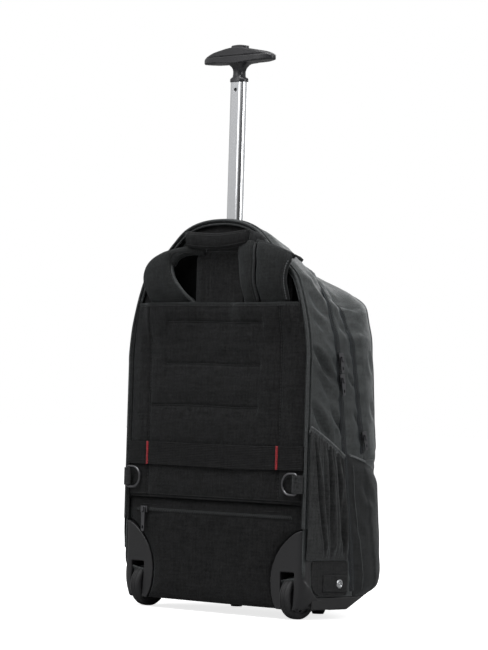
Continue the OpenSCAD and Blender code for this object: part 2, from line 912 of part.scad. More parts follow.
// The stowed end of a strap, inside the sleeve, from x0 to x1
module stowed_end(x0, x1) {
    intersection() {
        xz(strap_y, 95) polygon([[x0, sleeve_top + 0.9], [x1, sleeve_top + 0.9],
            [x1 - 3, 215], [x0 + 3, 215]]);
        crown_layer(-3.3, 150, 200, sleeve_top + 1);
    }
}

module shoulder_strap(rear, front, rear_y, x0, x1) {
    xz(85.4, rear_y) polygon(rear);
    xz(strap_y, 86) polygon(front);
    stowed_end(x0, x1);
}

module left_shoulder_strap() {
    color(STRAP_BLACK) shoulder_strap(LEFT_REAR, LEFT_FRONT, 101, 37, 115);
}

module right_shoulder_strap() {
    color(STRAP_BLACK) mirror([1, 0, 0]) shoulder_strap(RIGHT_REAR, RIGHT_FRONT, 96, 46, 125);
}

module grab_handle() {
    color([0.08, 0.08, 0.085]) {
        // padded grip, hanging from its two sewn ends
        translate([-handle_half, 92.5, 466.5]) rotate([0, 90, 0])
            linear_extrude(2 * handle_half) stadium(22, 11.5);
        for (s = [-1, 1])
            box([s * 50 - 4.5, 82.7, 464], [s * 50 + 4.5, 95, 478]);
    }
}

// ---------- rings ----------

ring_x = 149;         // pivot line of the strap rings
ring_y = 90.6;
ring_z = 166;
ring_r = 16.1;        // outside of the bow
ring_hole_r = 12.9;
bow_x = 12;           // from the pivot line to the middle of the bow
tab_x = 155.4;        // outer edge of the webbing tabs
tab_half = 12;        // half the height of the tabs

// The ring for -X
module d_ring() {
    // flat bow of the ring
    translate([-ring_x, 0, ring_z]) xz(ring_y - 1.5, ring_y + 1.5) difference() {
        union() {
            translate([0, -ring_r]) square([bow_x + 0.1, 2 * ring_r]);
            intersection() {
                translate([bow_x, 0]) circle(r = ring_r, $fn = 72);
                translate([bow_x, -20]) square([20, 40]);
            }
        }
        translate([-1, -ring_hole_r]) square([bow_x + 1, 2 * ring_hole_r]);
        translate([bow_x, 0]) circle(r = ring_hole_r, $fn = 72);
    }
    // straight bar that turns in its webbing loop
    translate([-ring_x, ring_y, ring_z])
        cylinder(r = 1.6, h = 2 * ring_r, center = true, $fn = 60);
}

module left_strap_ring() {
    color(RING_GREY) mirror([1, 0, 0]) d_ring();
}

module right_strap_ring() {
    color(RING_GREY) d_ring();
}

module ring_tabs() {
    low = ring_z - tab_half;
    high = ring_z + tab_half;
    color([0.07, 0.07, 0.072]) both_sides() difference() {
        union() {
            translate([ring_x, ring_y, ring_z])
                cylinder(r = 3.1, h = 2 * tab_half, center = true, $fn = 32);
            box([ring_x, 87.5, low], [tab_x, 90.2, high]);
            box([tab_x - 4, 84.2, low], [tab_x, 90.2, high]);
        }
        translate([ring_x, ring_y, ring_z]) cylinder(r = 1.66, h = 40, center = true, $fn = 32);
    }
}

// ---------- the assembly ----------

outer_tube();
outer_tube_guide();
middle_tube();
middle_tube_guide();
inner_tube();
trolley_base_bracket();
trolley_exit_bezel();
grip_lower_shell();
grip_upper_shell();
release_button();
button_spring();
release_rod();
lock_block();
lock_pin();
left_wheel_housing();
right_wheel_housing();
housing_screws();
wheel_axles();
left_wheel_bearings();
right_wheel_bearings();
left_wheel_hub();
right_wheel_hub();
left_tyre();
right_tyre();
base_tray();
front_feet();
back_frame_sheet();
trolley_cover_panel();
laptop_sleeve();
back_pad();
lower_back_panel();
strap_stow_panel();
luggage_band();
band_bartacks();
back_piping();
rear_shell();
main_zip_rear_tape();
main_zip_front_tape();
main_zip_slider_top();
main_zip_pull_top();
main_zip_slider_low();
main_zip_pull_low();
front_shell();
front_flap();
flap_zip_tape();
flap_zip_slider();
flap_zip_pull();
lower_zip_tape();
lower_zip_slider();
lower_zip_pull();
side_pockets();
pocket_hems();
side_base_patches();
side_tabs();
left_shoulder_strap();
right_shoulder_strap();
grab_handle();
left_strap_ring();
right_strap_ring();
ring_tabs();
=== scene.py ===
# Looks of a rolling laptop case. It stands on z = 0 with its back panel facing +Y, its
# front pocket facing -Y and the side called left at +X. Lengths are in millimetres and
# become metres when a mesh is made; the studio and the camera are in metres.
import bpy
import bmesh
import json
import math
import numpy as np
from mathutils import Vector, Matrix, noise
from mathutils.bvhtree import BVHTree

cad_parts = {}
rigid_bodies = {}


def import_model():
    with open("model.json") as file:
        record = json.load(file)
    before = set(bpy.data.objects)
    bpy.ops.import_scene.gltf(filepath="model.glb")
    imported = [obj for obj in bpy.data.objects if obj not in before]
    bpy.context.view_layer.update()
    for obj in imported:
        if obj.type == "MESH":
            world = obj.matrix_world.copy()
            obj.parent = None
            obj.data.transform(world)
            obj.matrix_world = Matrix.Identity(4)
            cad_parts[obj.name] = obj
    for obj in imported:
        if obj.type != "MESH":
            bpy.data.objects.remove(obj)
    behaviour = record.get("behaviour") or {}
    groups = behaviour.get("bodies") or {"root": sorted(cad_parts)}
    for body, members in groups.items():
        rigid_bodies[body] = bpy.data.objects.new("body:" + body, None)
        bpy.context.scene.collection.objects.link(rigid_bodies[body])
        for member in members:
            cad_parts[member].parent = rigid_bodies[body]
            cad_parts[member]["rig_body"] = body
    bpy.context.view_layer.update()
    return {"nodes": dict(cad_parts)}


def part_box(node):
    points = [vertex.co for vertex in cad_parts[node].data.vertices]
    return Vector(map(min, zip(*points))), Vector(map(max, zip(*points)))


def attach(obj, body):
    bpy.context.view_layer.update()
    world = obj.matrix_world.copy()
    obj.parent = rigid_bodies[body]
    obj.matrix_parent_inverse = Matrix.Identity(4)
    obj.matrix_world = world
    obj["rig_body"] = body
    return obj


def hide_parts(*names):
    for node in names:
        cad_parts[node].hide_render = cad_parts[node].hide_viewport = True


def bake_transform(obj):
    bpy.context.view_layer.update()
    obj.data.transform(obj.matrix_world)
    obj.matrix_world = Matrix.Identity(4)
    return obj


MM = 0.001


def node_box(name):
    """Low and high corner of a CAD node, in mm."""
    return [np.array([*corner]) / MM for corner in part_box(name)]


class ZipLine:
    """A zip seen from the side: tilted (in degrees) through a start point, then upright."""

    def __init__(self, z_start, y_start, tilt, y_upright):
        self.z_start, self.y_start, self.y_upright = z_start, y_start, y_upright
        self.tilt = math.radians(tilt)

    def y(self, z):
        return np.minimum(self.y_start + (z - self.z_start) * math.tan(self.tilt), self.y_upright)

    def behind(self, points):
        """Signed distance of points behind the zip."""
        y = self.y(points[:, 2])
        return (points[:, 1] - y) * np.where(y < self.y_upright, math.cos(self.tilt), 1)


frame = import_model()
NODES = frame["nodes"]

# ------------------------------------------------------------------ driving sizes

HALF_WIDTH, BACK_Y, TOP = node_box("rear_shell")[1]
BAND_LOW, BAND_HIGH = [corner[2] for corner in node_box("luggage_band")]
MAIN_ZIP = ZipLine(z_start=60.0, y_start=-6.0, tilt=7.3, y_upright=34.0)
FLAP_ZIP = ZipLine(z_start=203.0, y_start=-24.0, tilt=10.4, y_upright=10.0)
SPRING = 325.0                      # height where the sides turn into the arched top
SLEEVE_TOP = 389.0                  # top edge of the quilted sleeve on the back
SLEEVE_EDGE = 154.0                 # largest half width of the sleeve and the cloth below it
SEAM_Z = 142.0                      # seam between the sleeve and the cloth below it
TROLLEY_Y = 58
SKIN_BASE = 28.2                    # lower edge of the cloth skin
HINGE_Z = 198                       # lower edge of the front flap
CORNER_Y, CORNER_Z, CORNER_SLOPE = -84, 57, .0975     # piped corner line of the front panel
CLOTH = 2.3                         # thickness of the skin
AXLE = (131.5, 64.0, 27.0)          # centre of the left wheel
MIDDLE = np.array([0, 0, 250])      # a point well inside the bag
BACK = (0, 1.0, 0)                  # normal of whatever lies on the back
SIDES = ((-1, "r"), (1, "l"))
LONG_SIDES = ((1, "left"), (-1, "right"))

# Arched top: share of the half width, share of the rise above SPRING
ARCH = [(1, 0), (.978, .178), (.94, .325), (.89, .468), (.832, .58), (.724, .67), (.62, .742),
        (.533, .818), (.394, .923), (.216, .982), (0, 1)]


def crown(x):
    """y of the gently domed back."""
    return 90.5 - 8 * np.minimum(1, np.abs(x) / 157.0) ** 5


def corner_y(z):
    return CORNER_Y + (z - CORNER_Z) * CORNER_SLOPE


def flap_end_z(y):
    """Height of the line that ends the flap's zip on each side."""
    return 203 - (2 - y) * .3


# ------------------------------------------------------------------ curves and fields

def unit(vectors):
    return vectors / np.maximum(np.linalg.norm(vectors, axis=-1, keepdims=True), 1e-9)


def ease(t):
    t = np.clip(t, 0, 1)
    return t * t * (3 - 2 * t)


def bell(distance, width):
    return np.exp(-(distance / width) ** 2)


def xyz(x, y, z):
    """Coordinates broadcast together into one array of points."""
    return np.stack(np.broadcast_arrays(x, y, z), axis=-1).astype(float)


def nearest(*distances):
    return np.minimum.reduce(np.broadcast_arrays(*distances))


def path_length(path):
    return float(np.linalg.norm(np.diff(path, axis=0), axis=1).sum())


def resample(path, count, columns=None):
    """count rows evenly spaced by the length measured over the first columns."""
    steps = np.linalg.norm(np.diff(path[:, :columns], axis=0), axis=1)
    travelled = np.r_[0, np.cumsum(steps)]
    even = np.linspace(0, travelled[-1], count)
    return np.stack([np.interp(even, travelled, column) for column in path.T], 1)


def spline(points, count):
    """count points at even arc length along a smooth curve through points."""
    p = np.array(points, float)
    p = np.vstack([2 * p[0] - p[1], p, 2 * p[-1] - p[-2]])
    curve = []
    for a, b, c, d in zip(p, p[1:], p[2:], p[3:]):
        for t in np.linspace(0, 1, 24, endpoint=False):
            curve.append(.5 * (2 * b + (c - a) * t + (2 * a - 5 * b + 4 * c - d) * t * t
                               + (3 * b - a - 3 * c + d) * t ** 3))
    curve.append(p[-2])
    return resample(np.array(curve), count)


def with_normals(path, normals):
    return np.hstack([path, np.broadcast_to(normals, path.shape)])


def noise_at(points, scale, seed=0.0, octaves=2):
    """Layered noise at an array of points of any shape."""
    flat = points.reshape(-1, 3)
    total = np.zeros(len(flat))
    height, rate = 1.0, 1.0 / scale
    for _ in range(octaves):
        total += height * np.array([
            noise.noise(Vector((x * rate + seed, y * rate - seed * .7, z * rate + seed * 1.3)))
            for x, y, z in flat])
        height *= .5
        rate *= 2.1
    return total.reshape(points.shape[:-1])


# ------------------------------------------------------------------ materials

class Shader:
    """A principled material and short ways to add nodes to it."""

    def __init__(self, name):
        self.material = bpy.data.materials.new(name)
        self.material.use_nodes = True
        self.nodes = self.material.node_tree.nodes
        self.links = self.material.node_tree.links
        self.surface = self.nodes["Principled BSDF"].inputs
        self.position = self.add("TexCoord").outputs["Object"]

    def add(self, kind):
        return self.nodes.new("ShaderNode" + kind)

    def put(self, socket, value):
        if isinstance(value, bpy.types.NodeSocket):
            self.links.new(value, socket)
        else:
            socket.default_value = value

    def math(self, operation, *values, clamp=False):
        node = self.add("Math")
        node.operation, node.use_clamp = operation, clamp
        for socket, value in zip(node.inputs, values):
            self.put(socket, value)
        return node.outputs[0]

    def layered(self, base, *layers):
        """base plus every (value, weight)."""
        for value, weight in layers:
            base = self.math("ADD", base, self.math("MULTIPLY", value, weight))
        return base

    def centred(self, value):
        return self.math("SUBTRACT", value, .5)

    def mix(self, factor, low, high):
        node = self.add("Mix")
        node.data_type = "FLOAT"
        for index, value in ((0, factor), (2, low), (3, high)):
            self.put(node.inputs[index], value)
        return node.outputs[0]

    def colour(self, factor, low, high, blend="MIX"):
        node = self.add("Mix")
        node.data_type, node.blend_type = "RGBA", blend
        for index, value in ((0, factor), (6, low), (7, high)):
            self.put(node.inputs[index], value)
        return node.outputs[2]

    def split(self, vector):
        node = self.add("SeparateXYZ")
        self.put(node.inputs[0], vector)
        return node.outputs

    def noise(self, scale, detail=2, stretch=None, roughness=.5):
        node = self.add("TexNoise")
        node.inputs["Scale"].default_value = scale
        node.inputs["Detail"].default_value = detail
        node.inputs["Roughness"].default_value = roughness
        vector = self.position
        if stretch:
            mapping = self.add("Mapping")
            mapping.inputs["Scale"].default_value = stretch
            self.put(mapping.inputs["Vector"], vector)
            vector = mapping.outputs[0]
        self.put(node.inputs["Vector"], vector)
        return node.outputs["Fac"]

    def bump(self, height, depth):
        """Relief from a height; depth in mm."""
        node = self.add("Bump")
        node.inputs["Strength"].default_value = 1.0
        node.inputs["Distance"].default_value = depth * MM
        self.put(node.inputs["Height"], height)
        self.put(self.surface["Normal"], node.outputs[0])


def rgba(colour, gain=1.0):
    return (*(c * gain for c in colour), 1)


def fabric(name, colour, pitch=.7, bump=.14, sheen=.25, tint=(.8, .87, .9), rough=.82,
           specular=.25, variation=.25, twill=False, rib=None):
    """Woven cloth: crossing threads, uneven yarn, faint soiling and a fibre sheen.

    pitch and bump are in mm; rib is (axis number, pitch in mm) of webbing ribs.
    """
    shader = Shader(name)
    axes = x, y, z = shader.split(shader.position)
    facing = shader.split(shader.add("NewGeometry").outputs["Normal"])
    rate = 2 * math.pi / (pitch * MM)
    wave_x, wave_y, wave_z = (shader.math("SINE", shader.math("MULTIPLY", axis, rate))
                              for axis in axes)
    # threads run along the two axes that lie in the surface
    sideways = shader.math("GREATER_THAN", shader.math("ABSOLUTE", facing[0]), .62)
    level = shader.math("GREATER_THAN", shader.math("ABSOLUTE", facing[2]), .75)
    weave = shader.math("MULTIPLY", shader.mix(sideways, wave_x, wave_y),
                        shader.mix(level, wave_z, wave_y))
    if twill:
        diagonal = shader.math("ADD", shader.math("MULTIPLY", shader.mix(sideways, x, y), rate),
                               shader.math("MULTIPLY", shader.mix(level, z, y), rate))
        ridge = shader.math("MULTIPLY", shader.math("SINE", diagonal), .7)
        weave = shader.layered(ridge, (weave, .3))
    if rib:
        axis, rib_pitch = rib
        turn = shader.math("MULTIPLY", axes[axis], 2 * math.pi / (rib_pitch * MM))
        weave = shader.layered(shader.math("MULTIPLY", weave, .35),
                               (shader.math("SINE", turn), .65))
    yarn = shader.noise(1400, detail=2)
    slub = shader.noise(260, detail=3)
    grain = shader.noise(430, detail=1)
    soiling = shader.noise(11, detail=4, roughness=.6)
    thread = shader.math("MULTIPLY_ADD", weave, .5, .5)
    shader.bump(shader.layered(thread, (yarn, .35), (slub, .5), (grain, .9)), bump)

    tone = shader.layered(shader.math("MULTIPLY_ADD", thread, .3, .72),
                          (shader.centred(soiling), variation * 2),
                          (shader.centred(slub), .3), (shader.centred(grain), 1.3))
    # thick and thin yarns
    uneven = shader.math("ADD", shader.noise(420, detail=1, stretch=(.12, .12, 1)),
                         shader.noise(420, detail=1, stretch=(1, 1, .12)))
    tone = shader.math("ADD", tone, shader.math("SUBTRACT", uneven, 1.0))
    grey = shader.add("CombineColor")
    for channel in range(3):
        shader.put(grey.inputs[channel], tone)
    surface = shader.surface
    shader.put(surface["Base Color"],
               shader.colour(1, rgba(colour), grey.outputs[0], blend="MULTIPLY"))
    shader.put(surface["Roughness"], shader.math("MULTIPLY_ADD", soiling, .16, rough - .08))
    surface["Specular IOR Level"].default_value = specular
    surface["Sheen Weight"].default_value = sheen
    surface["Sheen Roughness"].default_value = .42
    surface["Sheen Tint"].default_value = (*tint, 1)
    return shader.material


def plastic(name, colour, rough=.42, grain=900, bump=.035, specular=.45, wear=.5):
    """Moulding: fine eroded grain, handling marks and paler rubbed edges."""
    shader = Shader(name)
    fine = shader.noise(grain, detail=3, roughness=.7)
    broad = shader.noise(30, detail=4, roughness=.65)
    scuff = shader.noise(140, detail=5, stretch=(.25, 1, 1.6), roughness=.7)
    shader.bump(shader.layered(fine, (scuff, .4)), bump)
    pointed = shader.add("NewGeometry").outputs["Pointiness"]
    edge = shader.math("MULTIPLY", shader.math("SUBTRACT", pointed, .515, clamp=True),
                       9 * wear, clamp=True)
    mark = shader.math("MULTIPLY", shader.math("SUBTRACT", scuff, .6, clamp=True), 1.5)
    rubbed = shader.math("ADD", edge, shader.math("MULTIPLY", mark, .35), clamp=True)
    shader.put(shader.surface["Base Color"],
               shader.colour(rubbed, rgba(colour), rgba(colour, gain=2.3)))
    shader.put(shader.surface["Roughness"],
               shader.layered(shader.math("MULTIPLY_ADD", broad, .2, rough - .1), (mark, .3)))
    shader.surface["Specular IOR Level"].default_value = specular
    return shader.material


def metal(name, colour, rough=.25, streak=(1, 1, 1), bump=.01, variation=.12):
    """Metal with streaked tone and roughness."""
    shader = Shader(name)
    cloud = shader.noise(60, detail=3, stretch=streak, roughness=.6)
    fine = shader.noise(1200, detail=2, stretch=streak)
    if bump:
        shader.bump(shader.math("ADD", cloud, fine), bump)
    tones = rgba(colour, 1 - variation), rgba(colour, 1 + variation * .5)
    shader.put(shader.surface["Base Color"], shader.colour(cloud, *tones))
    shader.put(shader.surface["Roughness"],
               shader.math("MULTIPLY_ADD", fine, .14, rough - .05))
    shader.surface["Metallic"].default_value = 1
    return shader.material


# look: (slot name, material)
LOOKS = {
    "gusset": ("bag_fabric", fabric(
        "gusset_nylon", (.0245, .0285, .029), pitch=.8, bump=.1, sheen=.22, rough=.5,
        specular=.5, variation=.18)),
    "back": ("back_fabric", fabric(
        "back_cloth", (.0155, .0155, .016), pitch=.9, bump=.2, sheen=.07, rough=.88,
        specular=.16, variation=.22)),
    "lower": ("back_fabric", fabric(
        "lower_cloth", (.0135, .0135, .014), bump=.12, sheen=.06, rough=.88,
        specular=.16, variation=.2)),
    # flap: the gusset nylon made lighter, painted light standing in for the highlights on the
    # flap's sides
    "flap": ("bag_fabric", fabric(
        "flap_nylon_lit_copy", (.031, .0355, .036), pitch=.8, bump=.1, sheen=.2, rough=.5,
        specular=.5, variation=.16)),
    "dark_side": ("bag_fabric", fabric(
        "front_side_cloth", (.0125, .0135, .014), pitch=.8, bump=.12, sheen=.1, rough=.7,
        specular=.3, variation=.15)),
    # hollow: near-black cloth, a painted shadow for the hollows beside the straps
    "hollow": ("back_fabric", fabric(
        "painted_shadow_mesh", (.0014, .0014, .0015), pitch=2.2, bump=.5, sheen=.01, rough=.95,
        specular=.03, variation=.1)),
    "strap": ("back_fabric", fabric(
        "strap_cloth", (.0135, .0147, .015), bump=.12, sheen=.15, rough=.78, variation=.18)),
    "pocket": ("pocket_fabric", fabric(
        "pocket_stretch_cloth", (.026, .027, .0275), pitch=.6, bump=.12, sheen=.16, rough=.75,
        specular=.3, variation=.2, twill=True)),
    "patch": ("back_fabric", fabric(
        "base_patch_cloth", (.017, .017, .0175), pitch=.9, bump=.15, sheen=.1, rough=.8,
        variation=.2, twill=True)),
    "hem": ("elastic_hem", fabric(
        "elastic_hem_knit", (.075, .078, .08), pitch=1.1, bump=.25, rough=.8,
        variation=.15, rib=(2, 1.5))),
    "edge": ("webbing", fabric(
        "binding_cloth", (.15, .155, .158), pitch=.6, bump=.12, sheen=.35, rough=.75,
        variation=.15)),
    "lining": ("lining", fabric(
        "lining_cloth", (.20, .205, .215), pitch=.5, bump=.06, sheen=.15, rough=.7,
        variation=.12)),
    "web": ("webbing", fabric(
        "webbing_x", (.0105, .0105, .011), pitch=1.3, bump=.3, sheen=.06, rough=.85,
        specular=.2, rib=(2, 2.1))),
    "web_z": ("webbing", fabric(
        "webbing_z", (.03, .031, .032), pitch=1.2, bump=.25, sheen=.12, rough=.8,
        rib=(0, 1.8))),
    "thread": ("webbing", fabric(
        "black_thread", (.012, .012, .0125), pitch=.5, bump=.1, sheen=.12, rough=.6,
        specular=.4, variation=.1)),
    "thread_pale": ("webbing", fabric(
        "grey_thread", (.13, .135, .14), pitch=.5, bump=.1, sheen=.3, rough=.6,
        specular=.4, variation=.1)),
    "red": ("red_thread", fabric(
        "red_satin_thread", (.46, .018, .028), pitch=.45, bump=.12, tint=(1, .6, .6),
        rough=.55, specular=.45, variation=.12)),
    "tape": ("zip_tape", fabric(
        "zip_tape_cloth", (.022, .025, .028), pitch=.8, bump=.18, sheen=.12, rough=.8,
        variation=.15)),
    "piping": ("webbing", fabric(
        "piping_cloth", (.035, .038, .039), pitch=.6, bump=.1, sheen=.3, rough=.6,
        specular=.4, variation=.12)),
    "coil": ("zip_tape", plastic(
        "zip_coil_nylon", (.03, .032, .033), rough=.35, grain=1400, bump=.02, wear=.3)),
    "housing": ("moulded_black", plastic(
        "housing_plastic", (.0165, .0165, .018), grain=1100, bump=.05, specular=.42,
        wear=.55)),
    "tray": ("moulded_black", plastic(
        "tray_plastic", (.0115, .0115, .0125), rough=.5, grain=800, bump=.05)),
    "grip": ("grip_black", plastic(
        "grip_plastic", (.025, .025, .028), rough=.3, grain=1500, bump=.02, specular=.5,
        wear=.35)),
    "button": ("grip_black", plastic(
        "button_plastic", (.03, .03, .033), rough=.3, grain=1500, bump=.02, specular=.5,
        wear=.35)),
    "inner": ("stiffener", plastic(
        "stiffener_plastic", (.05, .05, .053), rough=.5, grain=500, bump=.05)),
    "tyre": ("tyre_rubber", plastic(
        "tyre_rubber", (.02, .02, .021), rough=.62, grain=500, bump=.08, specular=.3,
        wear=.9)),
    "foot": ("foot_rubber", plastic(
        "foot_rubber", (.016, .016, .017), rough=.7, grain=400, bump=.1, specular=.3)),
    "post": ("post_metal", metal(
        "post_anodised", (.74, .75, .77), rough=.19, streak=(30, 30, .35), bump=0,
        variation=.07)),
    "gun": ("dark_metal", metal(
        "gunmetal", (.13, .13, .137), rough=.3, bump=.02, variation=.25)),
    "bright": ("bright_metal", metal("bright_rivet", (.46, .47, .48), rough=.3, bump=.008)),
    "steel": ("steel", metal("brushed_steel", (.5, .51, .52), rough=.3, streak=(20, 1, 1))),
}

# ------------------------------------------------------------------ mesh tools

def make(name, points, faces, look, body="root", sharp=None, replaces=None, recalc=False):
    """One piece, from points in mm, riding on a body and standing for a CAD node."""
    mesh = bpy.data.meshes.new(name)
    mesh.from_pydata((np.asarray(points, float) * MM).tolist(), [],
                     [list(map(int, face)) for face in faces])
    if recalc:
        work = bmesh.new()
        work.from_mesh(mesh)
        bmesh.ops.recalc_face_normals(work, faces=work.faces)
        work.to_mesh(mesh)
        work.free()
    mesh.polygons.foreach_set("use_smooth", [True] * len(mesh.polygons))
    if sharp:
        mesh.set_sharp_from_angle(angle=math.radians(sharp))
    mesh.update()
    piece = bpy.data.objects.new(name, mesh)
    bpy.context.scene.collection.objects.link(piece)
    slot, material = LOOKS[look]
    mesh.materials.append(material)
    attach(piece, body)
    if replaces:
        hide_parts(replaces)
    return piece


def solid_grid(outer, inner):
    """Closed solid between two grids of points, both (rows, columns, 3)."""
    rows, cols = outer.shape[:2]
    under = rows * cols
    faces = []
    for i in range(rows - 1):
        for j in range(cols - 1):
            a = i * cols + j
            b, c, d = a + 1, a + cols + 1, a + cols
            faces.append((a, b, c, d))
            faces.append((under + d, under + c, under + b, under + a))
    rim = (list(range(cols)) + [i * cols + cols - 1 for i in range(1, rows)]
           + [(rows - 1) * cols + j for j in range(cols - 2, -1, -1)]
           + [i * cols for i in range(rows - 2, 0, -1)])
    for a, b in zip(rim, rim[1:] + rim[:1]):
        faces.append((b, a, under + a, under + b))
    return np.vstack([outer.reshape(-1, 3), inner.reshape(-1, 3)]), faces


def tube_faces(rings, around, closed=False, ends=True):
    """Faces of a tube of point rings; closed joins the last ring to the first."""
    faces = []
    for i in range(rings if closed else rings - 1):
        here, there = i * around, (i + 1) % rings * around
        for j in range(around):
            j2 = (j + 1) % around
            faces.append((here + j, here + j2, there + j2, there + j))
    if ends and not closed:
        faces.append(tuple(range(around - 1, -1, -1)))
        faces.append(tuple((rings - 1) * around + j for j in range(around)))
    return faces


def path_frames(path, normals=None, closed=False):
    """Tangent, normal and side direction along a path."""
    if closed:
        tangent = unit(np.roll(path, -1, 0) - np.roll(path, 1, 0))
    else:
        tangent = unit(np.gradient(path, axis=0))
    if normals is None:                       # carry one normal along without twist
        normal = np.zeros_like(tangent)
        start = np.array([0, 0, 1.]) if abs(tangent[0][2]) < .9 else np.array([1., 0, 0])
        current = start - tangent[0] * (start @ tangent[0])
        for i, along in enumerate(tangent):
            current = unit(current - along * (current @ along))
            normal[i] = current
    else:
        normal = np.asarray(normals, float)
        normal = unit(normal - tangent * (normal * tangent).sum(1, keepdims=True))
    return tangent, normal, np.cross(tangent, normal)


def sweep(path, profile, normals=None, closed=False, scale=1.0):
    """Closed profile of (sideways, outward) points carried along path."""
    _, normal, side = path_frames(path, normals, closed)
    profile = np.array(profile, float)
    sizes = (np.ones(len(path)) * scale)[:, None, None]
    points = (path[:, None] + side[:, None] * (profile[None, :, :1] * sizes)
              + normal[:, None] * (profile[None, :, 1:] * sizes)).reshape(-1, 3)
    return points, tube_faces(len(path), len(profile), closed)


def circle(radius, count=10, squash=1.0):
    turns = [2 * math.pi * i / count for i in range(count)]
    return [(radius * math.cos(a), squash * radius * math.sin(a)) for a in turns]


def cord(name, path, radius, normals=BACK, look="piping", body="root", sides=10,
         replaces=None):
    make(name, *sweep(path, circle(radius, sides), normals), look, body, replaces=replaces)


def bar(length, width, height, sink=.3):
    """A stitch or tooth: a small rounded bar lying along x."""
    x, y = length / 2, width / 2
    points = [(px, py, z) for z in (-sink, height * .45)
              for px, py in ((-x, -y), (x, -y), (x, y), (-x, y))]
    x, y = length * .36, width * .22
    points += [(-x, -y, height), (x, -y, height), (x, y, height), (-x, y, height)]
    faces = [(3, 2, 1, 0), (8, 9, 10, 11)] + tube_faces(3, 4, ends=False)
    return points, faces


def copies(shape, places):
    """Copies of a small mesh; places are (origin, x axis, y axis, z axis)."""
    points, faces = np.asarray(shape[0], float), shape[1]
    placed = [np.asarray(origin) + points[:, :1] * np.asarray(x_axis)
              + points[:, 1:2] * np.asarray(y_axis) + points[:, 2:] * np.asarray(z_axis)
              for origin, x_axis, y_axis, z_axis in places]
    return np.vstack(placed), [tuple(k * len(points) + i for i in face)
                               for k in range(len(places)) for face in faces]


def sew(name, path, normals=BACK, offset=0.0, lift=0.0, body="root", look="thread",
        pitch=3.6, length=2.6, width=.75, height=.4):
    """A row of stitches beside a path."""
    count = max(3, int(path_length(path) / pitch))
    even = resample(with_normals(path, normals), count, columns=3)
    tangent, normal, side = path_frames(even[:, :3], even[:, 3:])
    origin = even[:, :3] + side * offset + normal * lift
    places = list(zip(origin, tangent, side, normal))[1:-1]
    make(name, *copies(bar(length, width, height), places), look, body)


def relax(points, edges, rounds):
    """Even a mesh out without shrinking it."""
    one, other = edges.T
    count = len(points)
    neighbours = np.maximum(np.bincount(edges.ravel(), minlength=count).astype(float), 1)
    for _ in range(rounds):
        for step in (.5, -.52):
            total = np.stack([np.bincount(one, points[other, axis], count)
                              + np.bincount(other, points[one, axis], count)
                              for axis in range(3)], 1)
            points = points + (total / neighbours[:, None] - points) * step
    return points


def remeshed(points, faces, voxel, rounds):
    """Points and faces of a voxel remesh, relaxed."""
    mesh = bpy.data.meshes.new("tmp")
    mesh.from_pydata(np.asarray(points, float).tolist(), [],
                     [list(map(int, face)) for face in faces])
    work = bpy.data.objects.new("tmp", mesh)
    bpy.context.scene.collection.objects.link(work)
    remesh = work.modifiers.new("r", "REMESH")
    remesh.mode, remesh.voxel_size, remesh.adaptivity = "VOXEL", voxel, 0
    evaluated = work.evaluated_get(bpy.context.evaluated_depsgraph_get())
    result = evaluated.to_mesh()
    points = np.empty(len(result.vertices) * 3)
    result.vertices.foreach_get("co", points)
    faces = [tuple(polygon.vertices) for polygon in result.polygons]
    edges = np.empty(len(result.edges) * 2, np.int64)
    result.edges.foreach_get("vertices", edges)
    evaluated.to_mesh_clear()
    bpy.data.objects.remove(work)
    bpy.data.meshes.remove(mesh)
    return relax(points.reshape(-1, 3), edges.reshape(-1, 2), rounds), faces


def vertex_normals(points, faces):
    normals = np.zeros_like(points)
    for face in faces:
        across = np.cross(points[face[2]] - points[face[0]], points[face[-1]] - points[face[1]])
        for i in face:
            normals[i] += across
    return unit(normals)


def node_mesh(name):
    """Points in mm and faces of a CAD node, its doubled vertices joined."""
    work = bmesh.new()
    work.from_mesh(NODES[name].data)
    bmesh.ops.remove_doubles(work, verts=work.verts, dist=1e-6)
    points = np.array([vert.co[:] for vert in work.verts]) / MM
    work.verts.index_update()
    faces = [tuple(vert.index for vert in face.verts) for face in work.faces]
    work.free()
    return points, faces


def soften(name, node, voxel, look, body="root", rounds=4, push=None):
    """The CAD node's shape with a moulding's rounded edges; push(points) swells it."""
    points, faces = remeshed(*node_mesh(node), voxel, rounds)
    if push:
        normals = vertex_normals(points, faces)
        outward = np.sign((normals * (points - points.mean(0))).sum()) or 1
        points = points + outward * normals * push(points)[:, None]
    make(name, points, faces, look, body, replaces=node)


def puff(name, x, y, z, thickness, look, replaces=None):
    """A cushioned sheet on the back; rows run up z, columns along +X."""
    outer = xyz(x, y, z)[:, ::-1]
    normals = unit(np.cross(np.gradient(outer, axis=1), np.gradient(outer, axis=0)))
    make(name, *solid_grid(outer, outer - normals * thickness), look, replaces=replaces,
         recalc=True)


PAD_RING = 26                       # points round a padded strap


def pad_frame(edge_a, edge_b, count):
    """Both edges of a strap resampled, with its normals turned to the back."""
    side_a, side_b = spline(edge_a, count), spline(edge_b, count)
    tangent = unit(np.gradient((side_a + side_b) / 2, axis=0))
    normal = unit(np.cross(tangent, side_b - side_a))
    return side_a, side_b, normal * np.sign(normal[:, 1:2] + 1e-9)


def pillow(edge_a, edge_b, thickness, rise=2.0, count=28, power=.55, wobble=0.0, seed=1.0):
    """A padded strap between two edge curves: rounded edges and a crowned middle."""
    side_a, side_b, normal = pad_frame(edge_a, edge_b, count)
    middle, across = (side_a + side_b) / 2, side_b - side_a
    points = []
    for i in range(count):
        for angle in np.linspace(0, 2 * math.pi, PAD_RING, endpoint=False):
            c, s = math.cos(angle), math.sin(angle)
            height = (math.copysign(abs(s) ** power, s) * thickness / 2
                      + rise * (1 - c * c))
            points.append(middle[i] + across[i] / 2 * c + normal[i] * height)
    points = np.array(points)
    if wobble:
        points += (np.repeat(normal, PAD_RING, 0)
                   * (noise_at(points, 26, seed) * wobble)[:, None])
    return points, tube_faces(count, PAD_RING)


